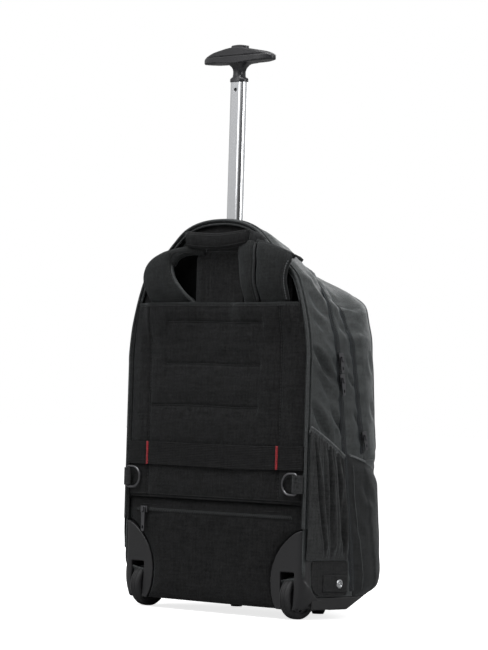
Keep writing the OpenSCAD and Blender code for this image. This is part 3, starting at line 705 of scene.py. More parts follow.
def inflate(piece, hold):
    """Foam pressing out a sewn cover: a short cloth run, its result kept as the mesh.

    hold pins each point by a share from 0 to 1.
    """
    largest_move, last_frame = 2.4, 14
    scene = bpy.context.scene
    mesh = piece.data.copy()
    runner = bpy.data.objects.new("cloth_run", mesh)
    scene.collection.objects.link(runner)
    group = runner.vertex_groups.new(name="hold")
    for i, weight in enumerate(hold):
        if weight > 0:
            group.add([i], float(weight), "REPLACE")
    cloth = runner.modifiers.new("cloth", "CLOTH")
    settings = cloth.settings
    settings.quality, settings.mass = 6, .12
    settings.tension_stiffness = settings.compression_stiffness = 9.0
    settings.shear_stiffness, settings.bending_stiffness = 4.0, .25
    settings.use_pressure, settings.uniform_pressure_force = True, 4.0
    settings.vertex_group_mass, settings.pin_stiffness = "hold", 1.0
    settings.effector_weights.gravity = 0
    cloth.collision_settings.use_collision = False
    cloth.collision_settings.use_self_collision = False
    cloth.point_cache.frame_start, cloth.point_cache.frame_end = 1, last_frame
    for k in range(1, last_frame + 1):
        scene.frame_set(k)
    evaluated = runner.evaluated_get(bpy.context.evaluated_depsgraph_get())
    after = np.empty(len(piece.data.vertices) * 3)
    evaluated.to_mesh().vertices.foreach_get("co", after)
    evaluated.to_mesh_clear()
    before = np.empty_like(after)
    piece.data.vertices.foreach_get("co", before)
    move = (after - before).reshape(-1, 3)
    distance = np.linalg.norm(move, axis=1, keepdims=True)
    move *= np.minimum(1, largest_move * MM / np.maximum(distance, 1e-9))
    piece.data.vertices.foreach_set("co", (before.reshape(-1, 3) + move).ravel())
    piece.data.update()
    bpy.data.objects.remove(runner)
    bpy.data.meshes.remove(mesh)
    scene.frame_set(1)
    smooth = piece.modifiers.new("smooth", "SUBSURF")
    smooth.levels = smooth.render_levels = 1


def strap(name, edge_a, edge_b, thickness, look="strap", rise=1.6, wobble=.5, seed=1.0,
          count=34, body="root", replaces=None, stitched=True, inset=5.0, inflated=False):
    """A padded strap, optionally inflated and stitched along both edges."""
    piece = make(name, *pillow(edge_a, edge_b, thickness, rise, count, wobble=wobble, seed=seed),
                 look, body, replaces=replaces, recalc=True)
    if inflated:
        turn = np.abs(np.cos(np.linspace(0, 2 * math.pi, PAD_RING, endpoint=False)))
        hold = np.tile(np.clip((turn - .72) / .1, 0, 1), (count, 1))
        hold[:2] = 1
        hold[-2:] = 1
        # the cover is caught down now and then along the strap
        hold = np.maximum(hold, (.55 * (np.arange(count) % 7 == 3))[:, None])
        inflate(piece, hold.ravel())
    if stitched:
        side_a, side_b, normal = pad_frame(edge_a, edge_b, 70)
        across = unit(side_b - side_a)
        width = np.linalg.norm(side_b - side_a, axis=1, keepdims=True)
        c = np.clip(1 - 2 * inset / width, 0, 1)
        height = (np.sqrt(np.clip(1 - c * c, 0, 1)) ** .55 * thickness / 2
                  + rise * (1 - c * c))
        for tag, edge, inward in (("a", side_a, across), ("b", side_b, -across)):
            sew(f"{name}_stitch_{tag}", edge + inward * inset + normal * height, normal,
                lift=-.1, pitch=3.4, body=body)


# ------------------------------------------------------------------ smooth hull of the bag

# Where the cloth sags full over the tray: z, y of the corner's centre, corner radius
SAGS = [(48, -25.6, 74.4), (40, -25.0, 72.6), (34, -24.0, 70.0), (30, -22.6, 67.0)]
SAG_X = 82.5


def hull_points():
    points = np.vstack([node_mesh(name)[0]
                        for name in ("rear_shell", "front_shell", "front_flap", "base_tray")])
    rear = points[points[:, 1] > BACK_Y - .2]
    groups = [points, rear + [0, 24, 0]]
    angle = np.linspace(math.pi, 1.5 * math.pi, 24)
    for z, centre_y, radius in SAGS:
        for sign in (-1, 1):
            groups.append(xyz(sign * (SAG_X - radius * np.cos(angle)),
                              centre_y + radius * np.sin(angle), z))
    return np.vstack(groups)


def convex_hull(points):
    """Points and faces of the hull, then normals and reaches of its larger faces."""
    work = bmesh.new()
    for point in points:
        work.verts.new(point)
    result = bmesh.ops.convex_hull(work, input=work.verts)
    loose = {item for item in result["geom_interior"] + result["geom_unused"]
             if isinstance(item, bmesh.types.BMVert)}
    bmesh.ops.delete(work, geom=list(loose), context="VERTS")
    bmesh.ops.recalc_face_normals(work, faces=work.faces)
    work.verts.index_update()
    corners = np.array([vert.co[:] for vert in work.verts])
    faces = [tuple(vert.index for vert in face.verts) for face in work.faces]
    large = [face for face in work.faces if face.calc_area() > .4]
    normals = np.array([face.normal[:] for face in large])
    reaches = np.array([max(face.normal.dot(vert.co) for vert in face.verts)
                        for face in large]) + .01
    work.free()
    return corners, faces, normals, reaches


hull_corners, hull_faces, HULL_NORMALS, HULL_REACHES = convex_hull(hull_points())


def hull_exit(points_at, count):
    """Distances at which the count rays points_at(distances) leave the hull."""
    low, high = np.zeros(count), np.full(count, 420.0)
    for _ in range(34):
        middle = (low + high) / 2
        inside = (points_at(middle) @ HULL_NORMALS.T - HULL_REACHES).max(1) < 0
        low = np.where(inside, middle, low)
        high = np.where(inside, high, middle)
    return low


def hull_loop(y_at, z_low, z_centre=250.0):
    """Outline of the hull cut by the bent sheet y = y_at(z), above z_low."""
    angle = np.radians(np.linspace(-172, 172, 700))

    def along(distance):
        z = z_centre + np.cos(angle) * distance
        return xyz(np.sin(angle) * distance, y_at(z), z)

    points = along(hull_exit(along, 700))
    above = np.where(points[:, 2] >= z_low)[0]
    return points[above[0]:above[-1] + 1]


# ------------------------------------------------------------------ cloth skin

# Folds of the side panels: y, z of both ends, width, depth
FOLDS = [
    (77, 336, 35, 289, 6.2, 4.4), (61, 347, 32, 317, 3.6, -1.5), (46, 294, 14, 273, 3.8, -1.5),
    (76, 266, 38, 214, 7, 3.6), (42, 262, 20, 232, 5, 2.0), (64, 303, 42, 268, 5, 1.2),
    (72, 404, 44, 371, 8, 1.6), (76, 380, 50, 352, 5, 1.0), (60, 424, 30, 392, 6, 1.3),
    (28, 380, 6, 340, 5, 1.0), (18, 330, 2, 300, 4, 1.2), (14, 308, -2, 286, 4, 1.4),
    (30, 248, 8, 220, 4.5, 1.2), (0, 262, -14, 236, 4, .9), (-2, 330, -14, 306, 4, .8),
    (-30, 330, -52, 300, 7, 1.2), (-34, 270, -60, 246, 7, 1.0), (-20, 170, -48, 140, 8, .9),
    (-8, 120, -30, 96, 7, .8)]
# Folds on each side: side, how much higher they sit, strength
FOLD_SIDES = ((-1, 0, 1.0), (1, 9, .85))


def top_sink(y, up):
    """How far the top sinks between the back and the front pocket; up is the normal's z."""
    return 12.5 * ease((up - .15) / .35) * bell(y + 2, 27)


def fold_relief(y, z, fold, raised):
    """Relief of one spindle-shaped fold and the strength it has along its length."""
    y_start, z_start, y_end, z_end, width, depth = fold
    start, end = np.array([y_start, z_start + raised]), np.array([y_end, z_end + raised])
    run = end - start
    length = np.linalg.norm(run)
    from_start = np.stack([y, z], 1) - start
    along = (from_start @ run) / length / length
    across = (from_start @ np.array([-run[1], run[0]])) / length
    across = across + 6.0 * (along - .5) ** 2                       # slightly bowed
    spindle = np.clip(np.sin(np.pi * np.clip(along, 0, 1)), 0, 1)   # pointed ends
    core = np.where((along > 0) & (along < 1), 1.0, 0.0) * spindle ** .6
    width = np.maximum(width * np.sqrt(spindle) * .85, 1.5)
    ridge = abs(depth)
    return core, (-depth * bell(across, width)
                  + .55 * ridge * bell(across - 1.9 * width, width * .8)
                  + .35 * ridge * bell(across + 1.9 * width, width * .8))


def skin_offset(points, normals):
    """How far the cloth stands off the hull: puffed between seams, drawn in at them."""
    x, y, z = points.T
    behind_main, behind_flap = MAIN_ZIP.behind(points), FLAP_ZIP.behind(points)
    side = np.clip((np.abs(normals[:, 0]) - .35) / .4, 0, 1)
    top = np.clip((normals[:, 2] - .4) / .4, 0, 1)
    front = np.clip((-normals[:, 1] - .35) / .4, 0, 1)
    mouth = np.hypot(np.maximum(np.abs(x) - 16, 0), np.maximum(np.abs(y - TROLLEY_Y) - 6, 0))
    # distance to each seam, and where that seam counts
    seams = [(np.abs(behind_main), True), (np.abs(behind_flap), z > 190),
             (np.abs(y - BACK_Y), True), (np.abs(z - 28), True),
             (np.abs(z - (flap_end_z(y) + 1)), (y < 4) & (side > .1)),
             (np.abs(z - HINGE_Z), y < -60), (mouth, z > 420)]
    seam = np.minimum.reduce([np.where(counts, distance, 200.0) for distance, counts in seams])
    away = ease(seam / 15.0)

    def by_part(rear, between, flap):
        return np.where(behind_main > 0, rear, np.where(behind_flap > 0, between, flap))

    puffed = by_part(1.2, 1.6, 3.0) + top * by_part(3.4, 2.6, 1.0)
    puffed = puffed + front * 3.5 * ease(1 - np.abs(x) / 150) * away
    offset = away * (puffed + 1.2 * noise_at(points, 85, 3.1) + .55 * noise_at(points, 30, 7.7))
    offset -= .8 * (1 - away)
    for sign, raised, strength in FOLD_SIDES:
        on_side = side * (np.sign(x) == sign)
        for fold in FOLDS:
            core, relief = fold_relief(y, z, fold, raised)
            offset += 1.9 * on_side * strength * core * ease(seam / 7.0) * relief
    # short puckers beside the zips: line, height, lowest z
    for line, height, lowest in ((MAIN_ZIP, .5, -np.inf), (FLAP_ZIP, .65, 204)):
        run = np.where(top > .5, x, z)
        offset += (height * np.sin(run / 3.4 + 2.2 * noise_at(points, 22, 5.0, 1))
                   * bell(np.abs(line.behind(points)) - 9, 5) * (z > lowest))
    offset -= top_sink(y, normals[:, 2]) * ease((mouth - 8) / 20) * (z > 330)
    return offset


def faces_inward(points, normals):
    return (normals * (points - MIDDLE)).sum(1).mean() < 0


def build_skin():
    """Points, normals and faces of the whole skin, cut along its seams."""
    points, faces = remeshed(hull_corners, hull_faces, voxel=3.8, rounds=16)
    normals = vertex_normals(points, faces)
    if faces_inward(points, normals):
        normals = -normals
    points = points + normals * skin_offset(points, normals)[:, None]
    work = bmesh.new()
    verts = [work.verts.new(point) for point in points]
    for face in faces:
        work.faces.new([verts[i] for i in face])
    work.normal_update()
    planes = []                     # point, normal
    for line in (MAIN_ZIP, FLAP_ZIP):
        planes += [((0, line.y_start, line.z_start),
                    (0, math.cos(line.tilt), -math.sin(line.tilt))),
                   ((0, line.y_upright, 0), (0, 1, 0))]
    planes += [((0, BACK_Y, 0), (0, 1, 0)), ((0, 0, SKIN_BASE), (0, 0, 1)),
               ((0, 0, HINGE_Z), (0, 0, 1)), ((0, CORNER_Y, CORNER_Z), (0, 1, -CORNER_SLOPE)),
               ((0, 2, flap_end_z(2)), (0, -.3, 1))]
    for point, normal in planes:
        bmesh.ops.bisect_plane(work, geom=[*work.verts, *work.edges, *work.faces], dist=.02,
                               plane_co=point, plane_no=normal)
    work.normal_update()
    work.verts.index_update()
    points = np.array([vert.co[:] for vert in work.verts])
    normals = np.array([vert.normal[:] for vert in work.verts])
    faces = [tuple(vert.index for vert in face.verts) for face in work.faces]
    work.free()
    if faces_inward(points, normals):
        normals = -normals
        faces = [face[::-1] for face in faces]
    return points, normals, faces


skin_points, skin_normals, skin_faces = build_skin()
SKIN = BVHTree.FromPolygons([tuple(point) for point in skin_points], skin_faces)


def shell(mask):
    """The masked part of the skin as a lined cloth."""
    chosen = [skin_faces[k] for k in np.where(mask)[0]]
    used = sorted({i for face in chosen for i in face})
    new = {old: i for i, old in enumerate(used)}
    outer = skin_points[used]
    inner = outer - skin_normals[used] * CLOTH
    under = len(used)
    faces, edges = [], {}
    for face in chosen:
        face = tuple(new[i] for i in face)
        faces.append(face)
        faces.append(tuple(under + i for i in face[::-1]))
        for pair in zip(face, face[1:] + face[:1]):
            edges[pair] = True
    for i, j in edges:
        if (j, i) not in edges:
            faces.append((j, i, under + i, under + j))
    return np.vstack([outer, inner]), faces


def skin_pieces():
    centres = np.array([skin_points[list(face)].mean(0) for face in skin_faces])
    x, y, z = centres.T
    behind_main, behind_flap = MAIN_ZIP.behind(centres), FLAP_ZIP.behind(centres)
    covered = (y < BACK_Y) & (z > SKIN_BASE)
    in_flap = (behind_flap < 0) & (z > HINGE_Z)
    # opening in the top round the trolley
    hole = (z > 440) & (np.hypot(np.maximum(np.abs(x) - 8.0, 0), y - TROLLEY_Y) < 12.2)
    make("rear_gusset", *shell(covered & (behind_main > 0) & ~hole), "gusset",
         replaces="rear_shell")
    front = make("front_section_body", *shell(covered & (behind_main < 0) & ~in_flap),
                 "gusset", "front_section", replaces="front_shell")
    front.data.materials.append(LOOKS["dark_side"][1])    # duller cloth on the lower sides
    for polygon in front.data.polygons:
        centre = polygon.center / MM
        if (abs(centre.x) > 90 and centre.z < flap_end_z(centre.y)
                and centre.y > corner_y(centre.z)):
            polygon.material_index = 1
    # the flap wears the lighter copy of the gusset nylon, its colour painted light
    make("front_flap_panel", *shell(covered & in_flap), "flap", "front_flap_body",
         replaces="front_flap")


skin_pieces()


def on_skin(path, lift=0.0):
    """path laid on the skin, with the skin's normals."""
    laid, normals = [], []
    for point in path:
        hit = None
        if point[2] > 330:          # straight out through the cloth, in the seam's own plane
            hit, normal, _, _ = SKIN.ray_cast(
                Vector((0, point[1], 250)), Vector((point[0], 0, point[2] - 250)).normalized())
        if hit is None:
            hit, normal, _, _ = SKIN.find_nearest(Vector(point))
        hit, normal = np.array(hit), np.array(normal)
        laid.append(hit)
        normals.append(-normal if normal @ (hit - MIDDLE) < 0 else normal)
    laid, normals = np.array(laid), np.array(normals)
    for _ in range(6):              # even out facet steps
        normals[1:-1] = unit(normals[:-2] + 2 * normals[1:-1] + normals[2:])
        laid[1:-1] = (laid[:-2] + 2 * laid[1:-1] + laid[2:]) / 4
    return laid + normals * lift, normals


# ------------------------------------------------------------------ zips and outer seams

def zipper(tag, path, normals, bodies, nodes, half=4.6, tape="tape"):
    """Two tapes, coils and stitch rows; bodies and nodes are (rear, front)."""
    even = resample(with_normals(path, normals), int(path_length(path) / 2.6))
    line, normals = even[:, :3], unit(even[:, 3:])
    sides = list(zip(("rear", "front"), (-1, 1), bodies))
    tapes = ([(-half, -.8), (-.3, -.8), (-.3, .75), (-half + .5, .75), (-half, .3)],
             [(.3, -.8), (half, -.8), (half, .3), (half - .5, .75), (.3, .75)])
    for (side, _, body), profile, node in zip(sides, tapes, nodes):
        make(f"{tag}_{side}_tape", *sweep(line, profile, normals), tape, body, sharp=40,
             replaces=node, recalc=True)
    tangent, normal, across = path_frames(line, normals)
    turns = int(path_length(path) / 1.55)
    rows = resample(np.hstack([line, normal, across, tangent]), turns)
    point, normal, across, tangent = np.split(rows, 4, axis=1)
    for first, (side, sign, body) in enumerate(sides):     # coil turns on each side by turns
        places = [(point[i] + across[i] * sign * .95 + normal[i] * .7,
                   across[i], tangent[i], normal[i]) for i in range(first, turns, 2)]
        make(f"{tag}_coil_{side}", *copies(bar(2.1, 1.0, 1.0, sink=.2), places), "coil", body)
    for side, sign, body in sides:
        sew(f"{tag}_stitch_{side}", line, normals, sign * (half + 2.2), lift=-.25, body=body)


zipper("main_zip", *on_skin(hull_loop(MAIN_ZIP.y, 34)), ("root", "front_section"),
       ("main_zip_rear_tape", "main_zip_front_tape"))
zipper("flap_zip", *on_skin(hull_loop(FLAP_ZIP.y, 204, 300)),
       ("front_section", "front_flap_body"), ("flap_zip_tape", None))


def front_corner():
    """Piping along the corner of the front panel, below the flap and on it."""
    path, normals = on_skin(hull_loop(corner_y, 33, 220))
    high = np.where(path[:, 2] > 199.5)[0]
    flap = slice(high[0], high[-1] + 1)
    for tag, part, body in (("low_r", slice(0, high[0] - 1), "front_section"),
                            ("low_l", slice(high[-1] + 2, None), "front_section"),
                            ("flap", flap, "front_flap_body")):
        count = max(8, int(path_length(path[part]) / 3))
        even = resample(np.hstack([path[part], normals[part]]), count)
        cord(f"front_corner_piping_{tag}", even[:, :3], 1.5, unit(even[:, 3:]), body=body)
    sew("front_corner_stitch_flap", path[flap], normals[flap], 4.0, lift=-.2,
        body="front_flap_body")


front_corner()
for sign, tag in SIDES:
    # pale diagonal piping that ends the flap's zip
    path, normals = on_skin(spline([(sign * 160, 2, 203.2), (sign * 160, -12, 200),
                                    (sign * 160, -31, 195.2)], 24), lift=.2)
    cord(f"flap_end_piping_{tag}", path, 1.3, normals, "edge", "front_section")
    # seam down the darker lower side panel
    path, normals = on_skin(spline(
        [(sign * 160, -3, 190), (sign * 160, -7, 148), (sign * 160, -16, 104),
         (sign * 158, -24, 60), (sign * 157, -26, 36)], 90))
    cord(f"side_panel_seam_{tag}", path, .8, normals, body="front_section", sides=8)
    sew(f"side_panel_stitch_{tag}", path, normals, 2.2, lift=-.1, body="front_section")

path, normals = on_skin(spline([(-118, -90, 196), (-80, -95, 196), (0, -95, 196),
                                (80, -95, 196), (118, -90, 196)], 120), lift=.1)
cord("flap_hinge_seam", path, 1.1, normals, body="front_section", sides=8)
sew("flap_hinge_stitch", path, normals, 3.4, lift=-.1, body="front_section")


# ------------------------------------------------------------------ linings inside the skin

def fan_sheet(name, outline, thickness, body, inset, rings=12):
    """A flat lining sheet: a fan of rings inside a closed outline."""
    centre = outline.mean(0)
    spokes = outline - centre
    spokes = spokes * (1 - inset / np.linalg.norm(spokes, axis=1, keepdims=True))
    count = len(spokes)
    normal = unit(np.cross(spokes[0], spokes[count // 4]))
    if normal[1] < 0:
        normal = -normal
    points = np.vstack([centre] + [centre + spokes * (k / rings) for k in range(1, rings + 1)])
    faces = [(0, 1 + i, 1 + (i + 1) % count) for i in range(count)]
    for k in range(rings - 1):
        for i in range(count):
            a, b = 1 + k * count + i, 1 + k * count + (i + 1) % count
            faces.append((a, a + count, b + count, b))
    under = len(points)
    faces += [tuple(under + i for i in face[::-1]) for face in faces]
    rim = 1 + (rings - 1) * count
    for i in range(count):
        j = (i + 1) % count
        faces.append((rim + i, rim + j, under + rim + j, under + rim + i))
    make(name, np.vstack([points, points - normal * thickness]), faces, "lining", body,
         recalc=True)


def front_divider():
    """The sheet just behind the flap's zip, sunk at the top like the skin."""
    def y_at(z):
        return FLAP_ZIP.y(z) + 1.9

    z_low = 33
    upper = resample(hull_loop(y_at, z_low, 200), 150)
    base = xyz(np.linspace(upper[-1, 0], upper[0, 0], 40)[1:-1], y_at(z_low), z_low)
    outline = np.vstack([upper, base])
    tangent = unit(np.roll(outline, -1, 0) - np.roll(outline, 1, 0))
    inward = unit(outline * [0, 1, 0] + MIDDLE - outline)
    sink = top_sink(outline[:, 1], np.abs(tangent[:, 0])) * (outline[:, 2] > 330)
    fan_sheet("front_divider", outline + inward * sink[:, None], 1.8, "front_section", 4.6)


def front_floor():
    """Floor of the front section, round the front of the tray."""
    angle, y_rear, z = np.linspace(0, math.pi, 60), -11, 29.6

    def along(distance):
        return xyz(np.cos(angle) * distance, y_rear - np.sin(angle) * distance, 30.0)

    outline = [(x, y) for x, y, _ in along(hull_exit(along, 60))]
    outline += [(x, y_rear) for x in np.linspace(-140, 140, 24)]
    fan_sheet("front_section_floor", np.array([(x, y, z) for x, y in outline]), 1.2,
              "front_section", 3.2)


def main_floor():
    """Floor of the main compartment, laid on the tray."""
    y_side, z = np.linspace(-9.0, 34.0, 24), 29.2
    reach = hull_exit(lambda distance: xyz(distance, y_side, 30.0), 24) - 2.0
    side = list(zip(reach, y_side))
    outline = (side + [(112, 34.5)] + [(x, 60.0) for x in np.linspace(100, -100, 30)]
               + [(-112, 34.5)] + [(-x, y) for x, y in side[::-1]]
               + [(x, -9.0) for x in np.linspace(-130, 130, 30)])
    fan_sheet("main_compartment_floor", np.array([(x, y, z) for x, y in outline]), 1.0,
              "root", 1.5)


front_divider()
front_floor()
main_floor()

# ------------------------------------------------------------------ back panel

ACROSS = np.linspace(-1, 1, 156)
# Quilting lines of the sleeve: z, x at each end
QUILT_LINES = [(365, -88, 81), (312, -82, 86), (259, -79, 110)]
SEAM_X = 115                        # upright seams of the sleeve
# Inner edge of a wheel housing: z, x
HOUSING_EDGE = np.array([
    (0, 88), (13, 88), (28, 95), (42, 103), (56, 104.5), (66, 107), (77, 112), (87, 119),
    (95, 127), (101.5, 135), (106.5, 143), (109.5, 151), (111.5, 154.2)])
# The same edge below HOUSING_FOOT_TOP, drawn in round the wheel
HOUSING_FOOT = np.array([(8, 117), (13, 114), (20, 109.5), (28, 106.4), (36, 105),
                         (42, 104.2), (50, 103.9)])
HOUSING_FOOT_TOP = 50
ARCH_LOW = 112                      # piping of the arch starts above the housings


def arch_line(inset):
    """Points up one side, over the arch and down the other, at y = 0."""
    width, rise = HALF_WIDTH - inset, TOP - inset - SPRING
    side = np.linspace(ARCH_LOW, SPRING, 16)
    points = [(-width, 0, z) for z in side[:-1]]
    points += [(-width * a, 0, SPRING + rise * b) for a, b in ARCH]
    points += [(width * a, 0, SPRING + rise * b) for a, b in ARCH[-2::-1]]
    points += [(width, 0, z) for z in side[-2::-1]]
    return spline(points, 420)


def half_width(z, inset):
    """Half width of the arched outline at heights z."""
    width, rise = HALF_WIDTH - inset, TOP - inset - SPRING
    heights = [0] + [SPRING + rise * b for _, b in ARCH]
    return np.interp(z, heights, [width] + [width * a for a, _ in ARCH])


def housing_edge(z):
    return np.interp(z, *HOUSING_EDGE.T)


def housing_inner(z):
    return np.where(z < HOUSING_FOOT_TOP, np.interp(z, *HOUSING_FOOT.T), housing_edge(z))


def strap_bulge(x, z):
    """How far the sleeve is pushed out by the straps stowed behind it."""
    left = ease((x - 18) / 30) * ease((134 - x) / 20)
    right = ease((-22 - x) / 30) * ease((x + 142) / 20)
    return 6.4 * (left + right) * ease((z - 334) / 50)


def quilting(x, z):
    """Depth share of the quilted grooves, and the distance to the nearest one."""
    groove, near = np.zeros_like(x), np.full_like(x, 99.0)
    for line_z, start, end in QUILT_LINES:
        present = ease((x - start + 5) / 10) * ease((end + 5 - x) / 10)
        line = line_z + .8 * np.sin(x / 31)
        groove = np.maximum(groove, present * bell(z - line, 1.7))
        near = np.minimum(near, np.where(present > .5, np.abs(z - line), 99))
    for seam in (-SEAM_X, SEAM_X):
        groove = np.maximum(groove, bell(x - seam, 1.7) * ease((SLEEVE_TOP - z) / 3))
        near = np.minimum(near, np.abs(x - seam))
    return groove, near


def quilted_sleeve():
    z = np.linspace(SEAM_Z + .4, SLEEVE_TOP, 124)[:, None]
    half = np.minimum(half_width(z, 3.6), SLEEVE_EDGE)
    x = ACROSS * half
    groove, near = quilting(x, z)
    edge = nearest(z - SEAM_Z, SLEEVE_TOP - z + 2.0, half - np.abs(x))
    puffed = ease(np.minimum(near, edge) / 22.0)
    y = crown(x) - 1.4 + 1.6 * puffed - 1.6 * groove
    y += .6 * noise_at(xyz(x, 0, z), 48, 2.0) * puffed
    y += .32 * noise_at(xyz(x, 0, z * 2.4), 20, 6.0)
    y += .28 * np.sin(x / 3.1) * bell(near, 5) * (1 - groove)         # gathers
    # pressed in under the band
    y -= 1.76 * bell(z - (BAND_LOW + BAND_HIGH) / 2, 17) * ease((SLEEVE_EDGE - np.abs(x)) / 30)
    y -= 1.6 * (1 - ease(edge / 4.0))
    y += strap_bulge(x, z)
    puff("quilted_sleeve_panel", x, y, z, 2.4, "back", "strap_stow_panel")


def sleeve_stitching():
    for k, (line_z, start, end) in enumerate(QUILT_LINES):
        x = np.linspace(start, end, 90)
        y = crown(x) - 2.3 + strap_bulge(x, line_z)
        sew(f"quilt_stitch_{k}", xyz(x, y, line_z + .8 * np.sin(x / 31)), lift=.1, width=.7)
    z = np.linspace(SEAM_Z + 2, SLEEVE_TOP - 2, 120)
    for sign, tag in SIDES:
        x = sign * SEAM_X
        for part, part_z in (("low", z[z < BAND_LOW - 2]), ("high", z[z > BAND_HIGH + 2])):
            y = crown(SEAM_X) - 2.0 + strap_bulge(x, part_z)
            sew(f"side_seam_{part}_{tag}", xyz(x, y, part_z), lift=.1, width=.7)


def sleeve_binding():
    """Bound top edge of the sleeve."""
    half = min(150.0, float(half_width(SLEEVE_TOP, 4.5)))
    x = np.linspace(-half, half, 150)
    path = xyz(x, crown(x) - 1.9 + strap_bulge(x, SLEEVE_TOP),
               SLEEVE_TOP - .4 + .5 * np.sin(x / 37))
    profile = [(-4.2, .55), (0, .75), (1.3, .1), (1.3, -2.0), (0, -3.0), (-4.2, -2.6)]
    make("sleeve_top_binding", *sweep(path, profile, BACK), "strap", sharp=60, recalc=True)
    sew("sleeve_top_stitch", path - [0, 0, 3.2], lift=.75)


def lower_panel():
    """Cloth between the two wheel housings, with a zip across it."""
    zip_z, zip_half = 125.0, 136
    z = np.linspace(12.6, SEAM_Z - .2, 78)[:, None]
    half = np.minimum(housing_inner(z) - .7, SLEEVE_EDGE)
    x = ACROSS * half
    edge = nearest(z - 12, np.maximum(SEAM_Z - z, 0), half - np.abs(x))
    flat = xyz(x, 0, z)
    groove = bell(z - zip_z, 5.0) * ease((zip_half + 2 - np.abs(x)) / 4)
    y = (crown(x) - 5.2 + 2.0 * ease(edge / 18) - 1.3 * groove
         + .7 * noise_at(flat, 55, 4.4) + .3 * noise_at(flat, 19, 8.2))
    y += .5 * bell(z - 112, 7) * np.sin(x / 9.0 + 1) - 2.6 * (1 - ease(edge / 5.0))
    puff("lower_back_cloth", x, y, z, 2.2, "lower", "lower_back_panel")
    x = np.linspace(-zip_half, zip_half, 140)
    zipper("lower_zip", xyz(x, crown(x) - 4.6, zip_z), BACK, ("root", "root"),
           ("lower_zip_tape", None), half=4.2, tape="lower")


def panel_seam():
    x = np.linspace(-153, 153, 160)
    path = xyz(x, crown(x) - 2.6, SEAM_Z + .1)
    cord("panel_seam_cord", path, 1.1, look="lower", sides=8)
    sew("panel_seam_stitch", path + [0, .9, 3.4], lift=.1)


def upper_pad():
    """Pad filling the dome, seen between the straps, with a hollow beside each strap."""
    pad_top = TOP - 3.0
    z = np.linspace(29, pad_top, 150)[:, None]
    half = np.minimum(half_width(z, 3.2), np.where(z < 112, housing_edge(z) - 1.2, 999))
    x = ACROSS * half
    edge = np.minimum(half - np.abs(x), pad_top - z + 1)
    flat = xyz(x, 0, z)
    upper = ease((z - 372) / 25)
    y = 79.2 + upper * (2.6 * ease(edge / 16) + .7 * noise_at(flat, 34, 1.4)
                        + .35 * noise_at(flat, 13, 2.4)) - 1.6 * (1 - ease(edge / 4))
    y -= upper * 1.4 * bell(edge - 9, 1.8)
    hollow = (ease((x - 40) / 5) * ease((92 - x) / 10) * ease((462 - z) / 10)
              + ease((-118 - x) / 6) * ease((x + 156) / 7) * ease((452 - z) / 12))
    y -= upper * 5.5 * hollow
    puff("upper_back_pad", x, y, z, 4.0, "back", "back_pad")


def arch_trim():
    """Cords, binding and stitches that follow the arch."""
    def trim_line(inset, y):
        return arch_line(inset) + [0, y, 0]

    cord("arch_piping", trim_line(.3, 83.7), 1.75, sides=12, replaces="back_piping")
    path = trim_line(5.0, 82.9)
    above = np.where(path[:, 2] > SLEEVE_TOP + 1)[0]
    cord("dome_piping", path[above[0]:above[-1] + 1], 1.35, sides=12)
    path = trim_line(-.9, 78.6)
    tangent = unit(np.gradient(path, axis=0))
    cord("side_edge_piping", path, 1.05, xyz(-tangent[:, 2], 0, tangent[:, 0]))
    path = trim_line(2.9, 82.6)
    profile = [(-2.4, -.9), (2.4, -.9), (2.4, .2), (1.6, .65), (-1.6, .65), (-2.4, .2)]
    make("arch_binding", *sweep(path, profile, BACK), "strap", sharp=50, recalc=True)
    sew("arch_stitch", path, lift=.65, pitch=3.8)


def luggage_band():
    """Ribbed webbing, tight at its tacks and slack between them."""
    tack_x, middle = 114, (BAND_LOW + BAND_HIGH) / 2
    z = np.linspace(BAND_LOW + .3, BAND_HIGH - .3, 42)[:, None]
    x = np.linspace(-154.3, 154.3, 170)[None]
    slack = np.sin(np.pi * np.clip((x + tack_x) / (2 * tack_x), 0, 1)) ** .8
    z = middle + (z - middle) * (1 - .012 * slack) - 1.0 * slack + .5 * np.sin(x / 41)
    y = (np.maximum(crown(x), 82.4) + 1.15 + 1.5 * slack
         + .22 * np.abs(np.sin((z - BAND_LOW) / 2.1 * math.pi))
         + .35 * noise_at(xyz(x, 0, z), 40, 9.1) * slack)
    y -= bell(np.abs(x) - tack_x, 3.0)
    puff("luggage_band_webbing", x, y, z, 1.3, "web", "luggage_band")
    tacks = []
    for sign in (-1, 1):
        for i, z in enumerate(np.linspace(BAND_LOW + 1.2, BAND_HIGH - 1.2, 22)):
            lean = .22 * (1 if i % 2 else -1)
            c, s = math.cos(lean), math.sin(lean)
            tacks.append(((sign * tack_x, crown(tack_x) + 1.05, z),
                          (c, 0, s), (-s, 0, c), BACK))
    make("band_tack_stitches", *copies(bar(3.3, 1.35, .75, sink=.9), tacks), "red",
         replaces="band_bartacks")


quilted_sleeve()
sleeve_stitching()
sleeve_binding()
lower_panel()
panel_seam()
upper_pad()
arch_trim()
luggage_band()

# ------------------------------------------------------------------ stowed straps

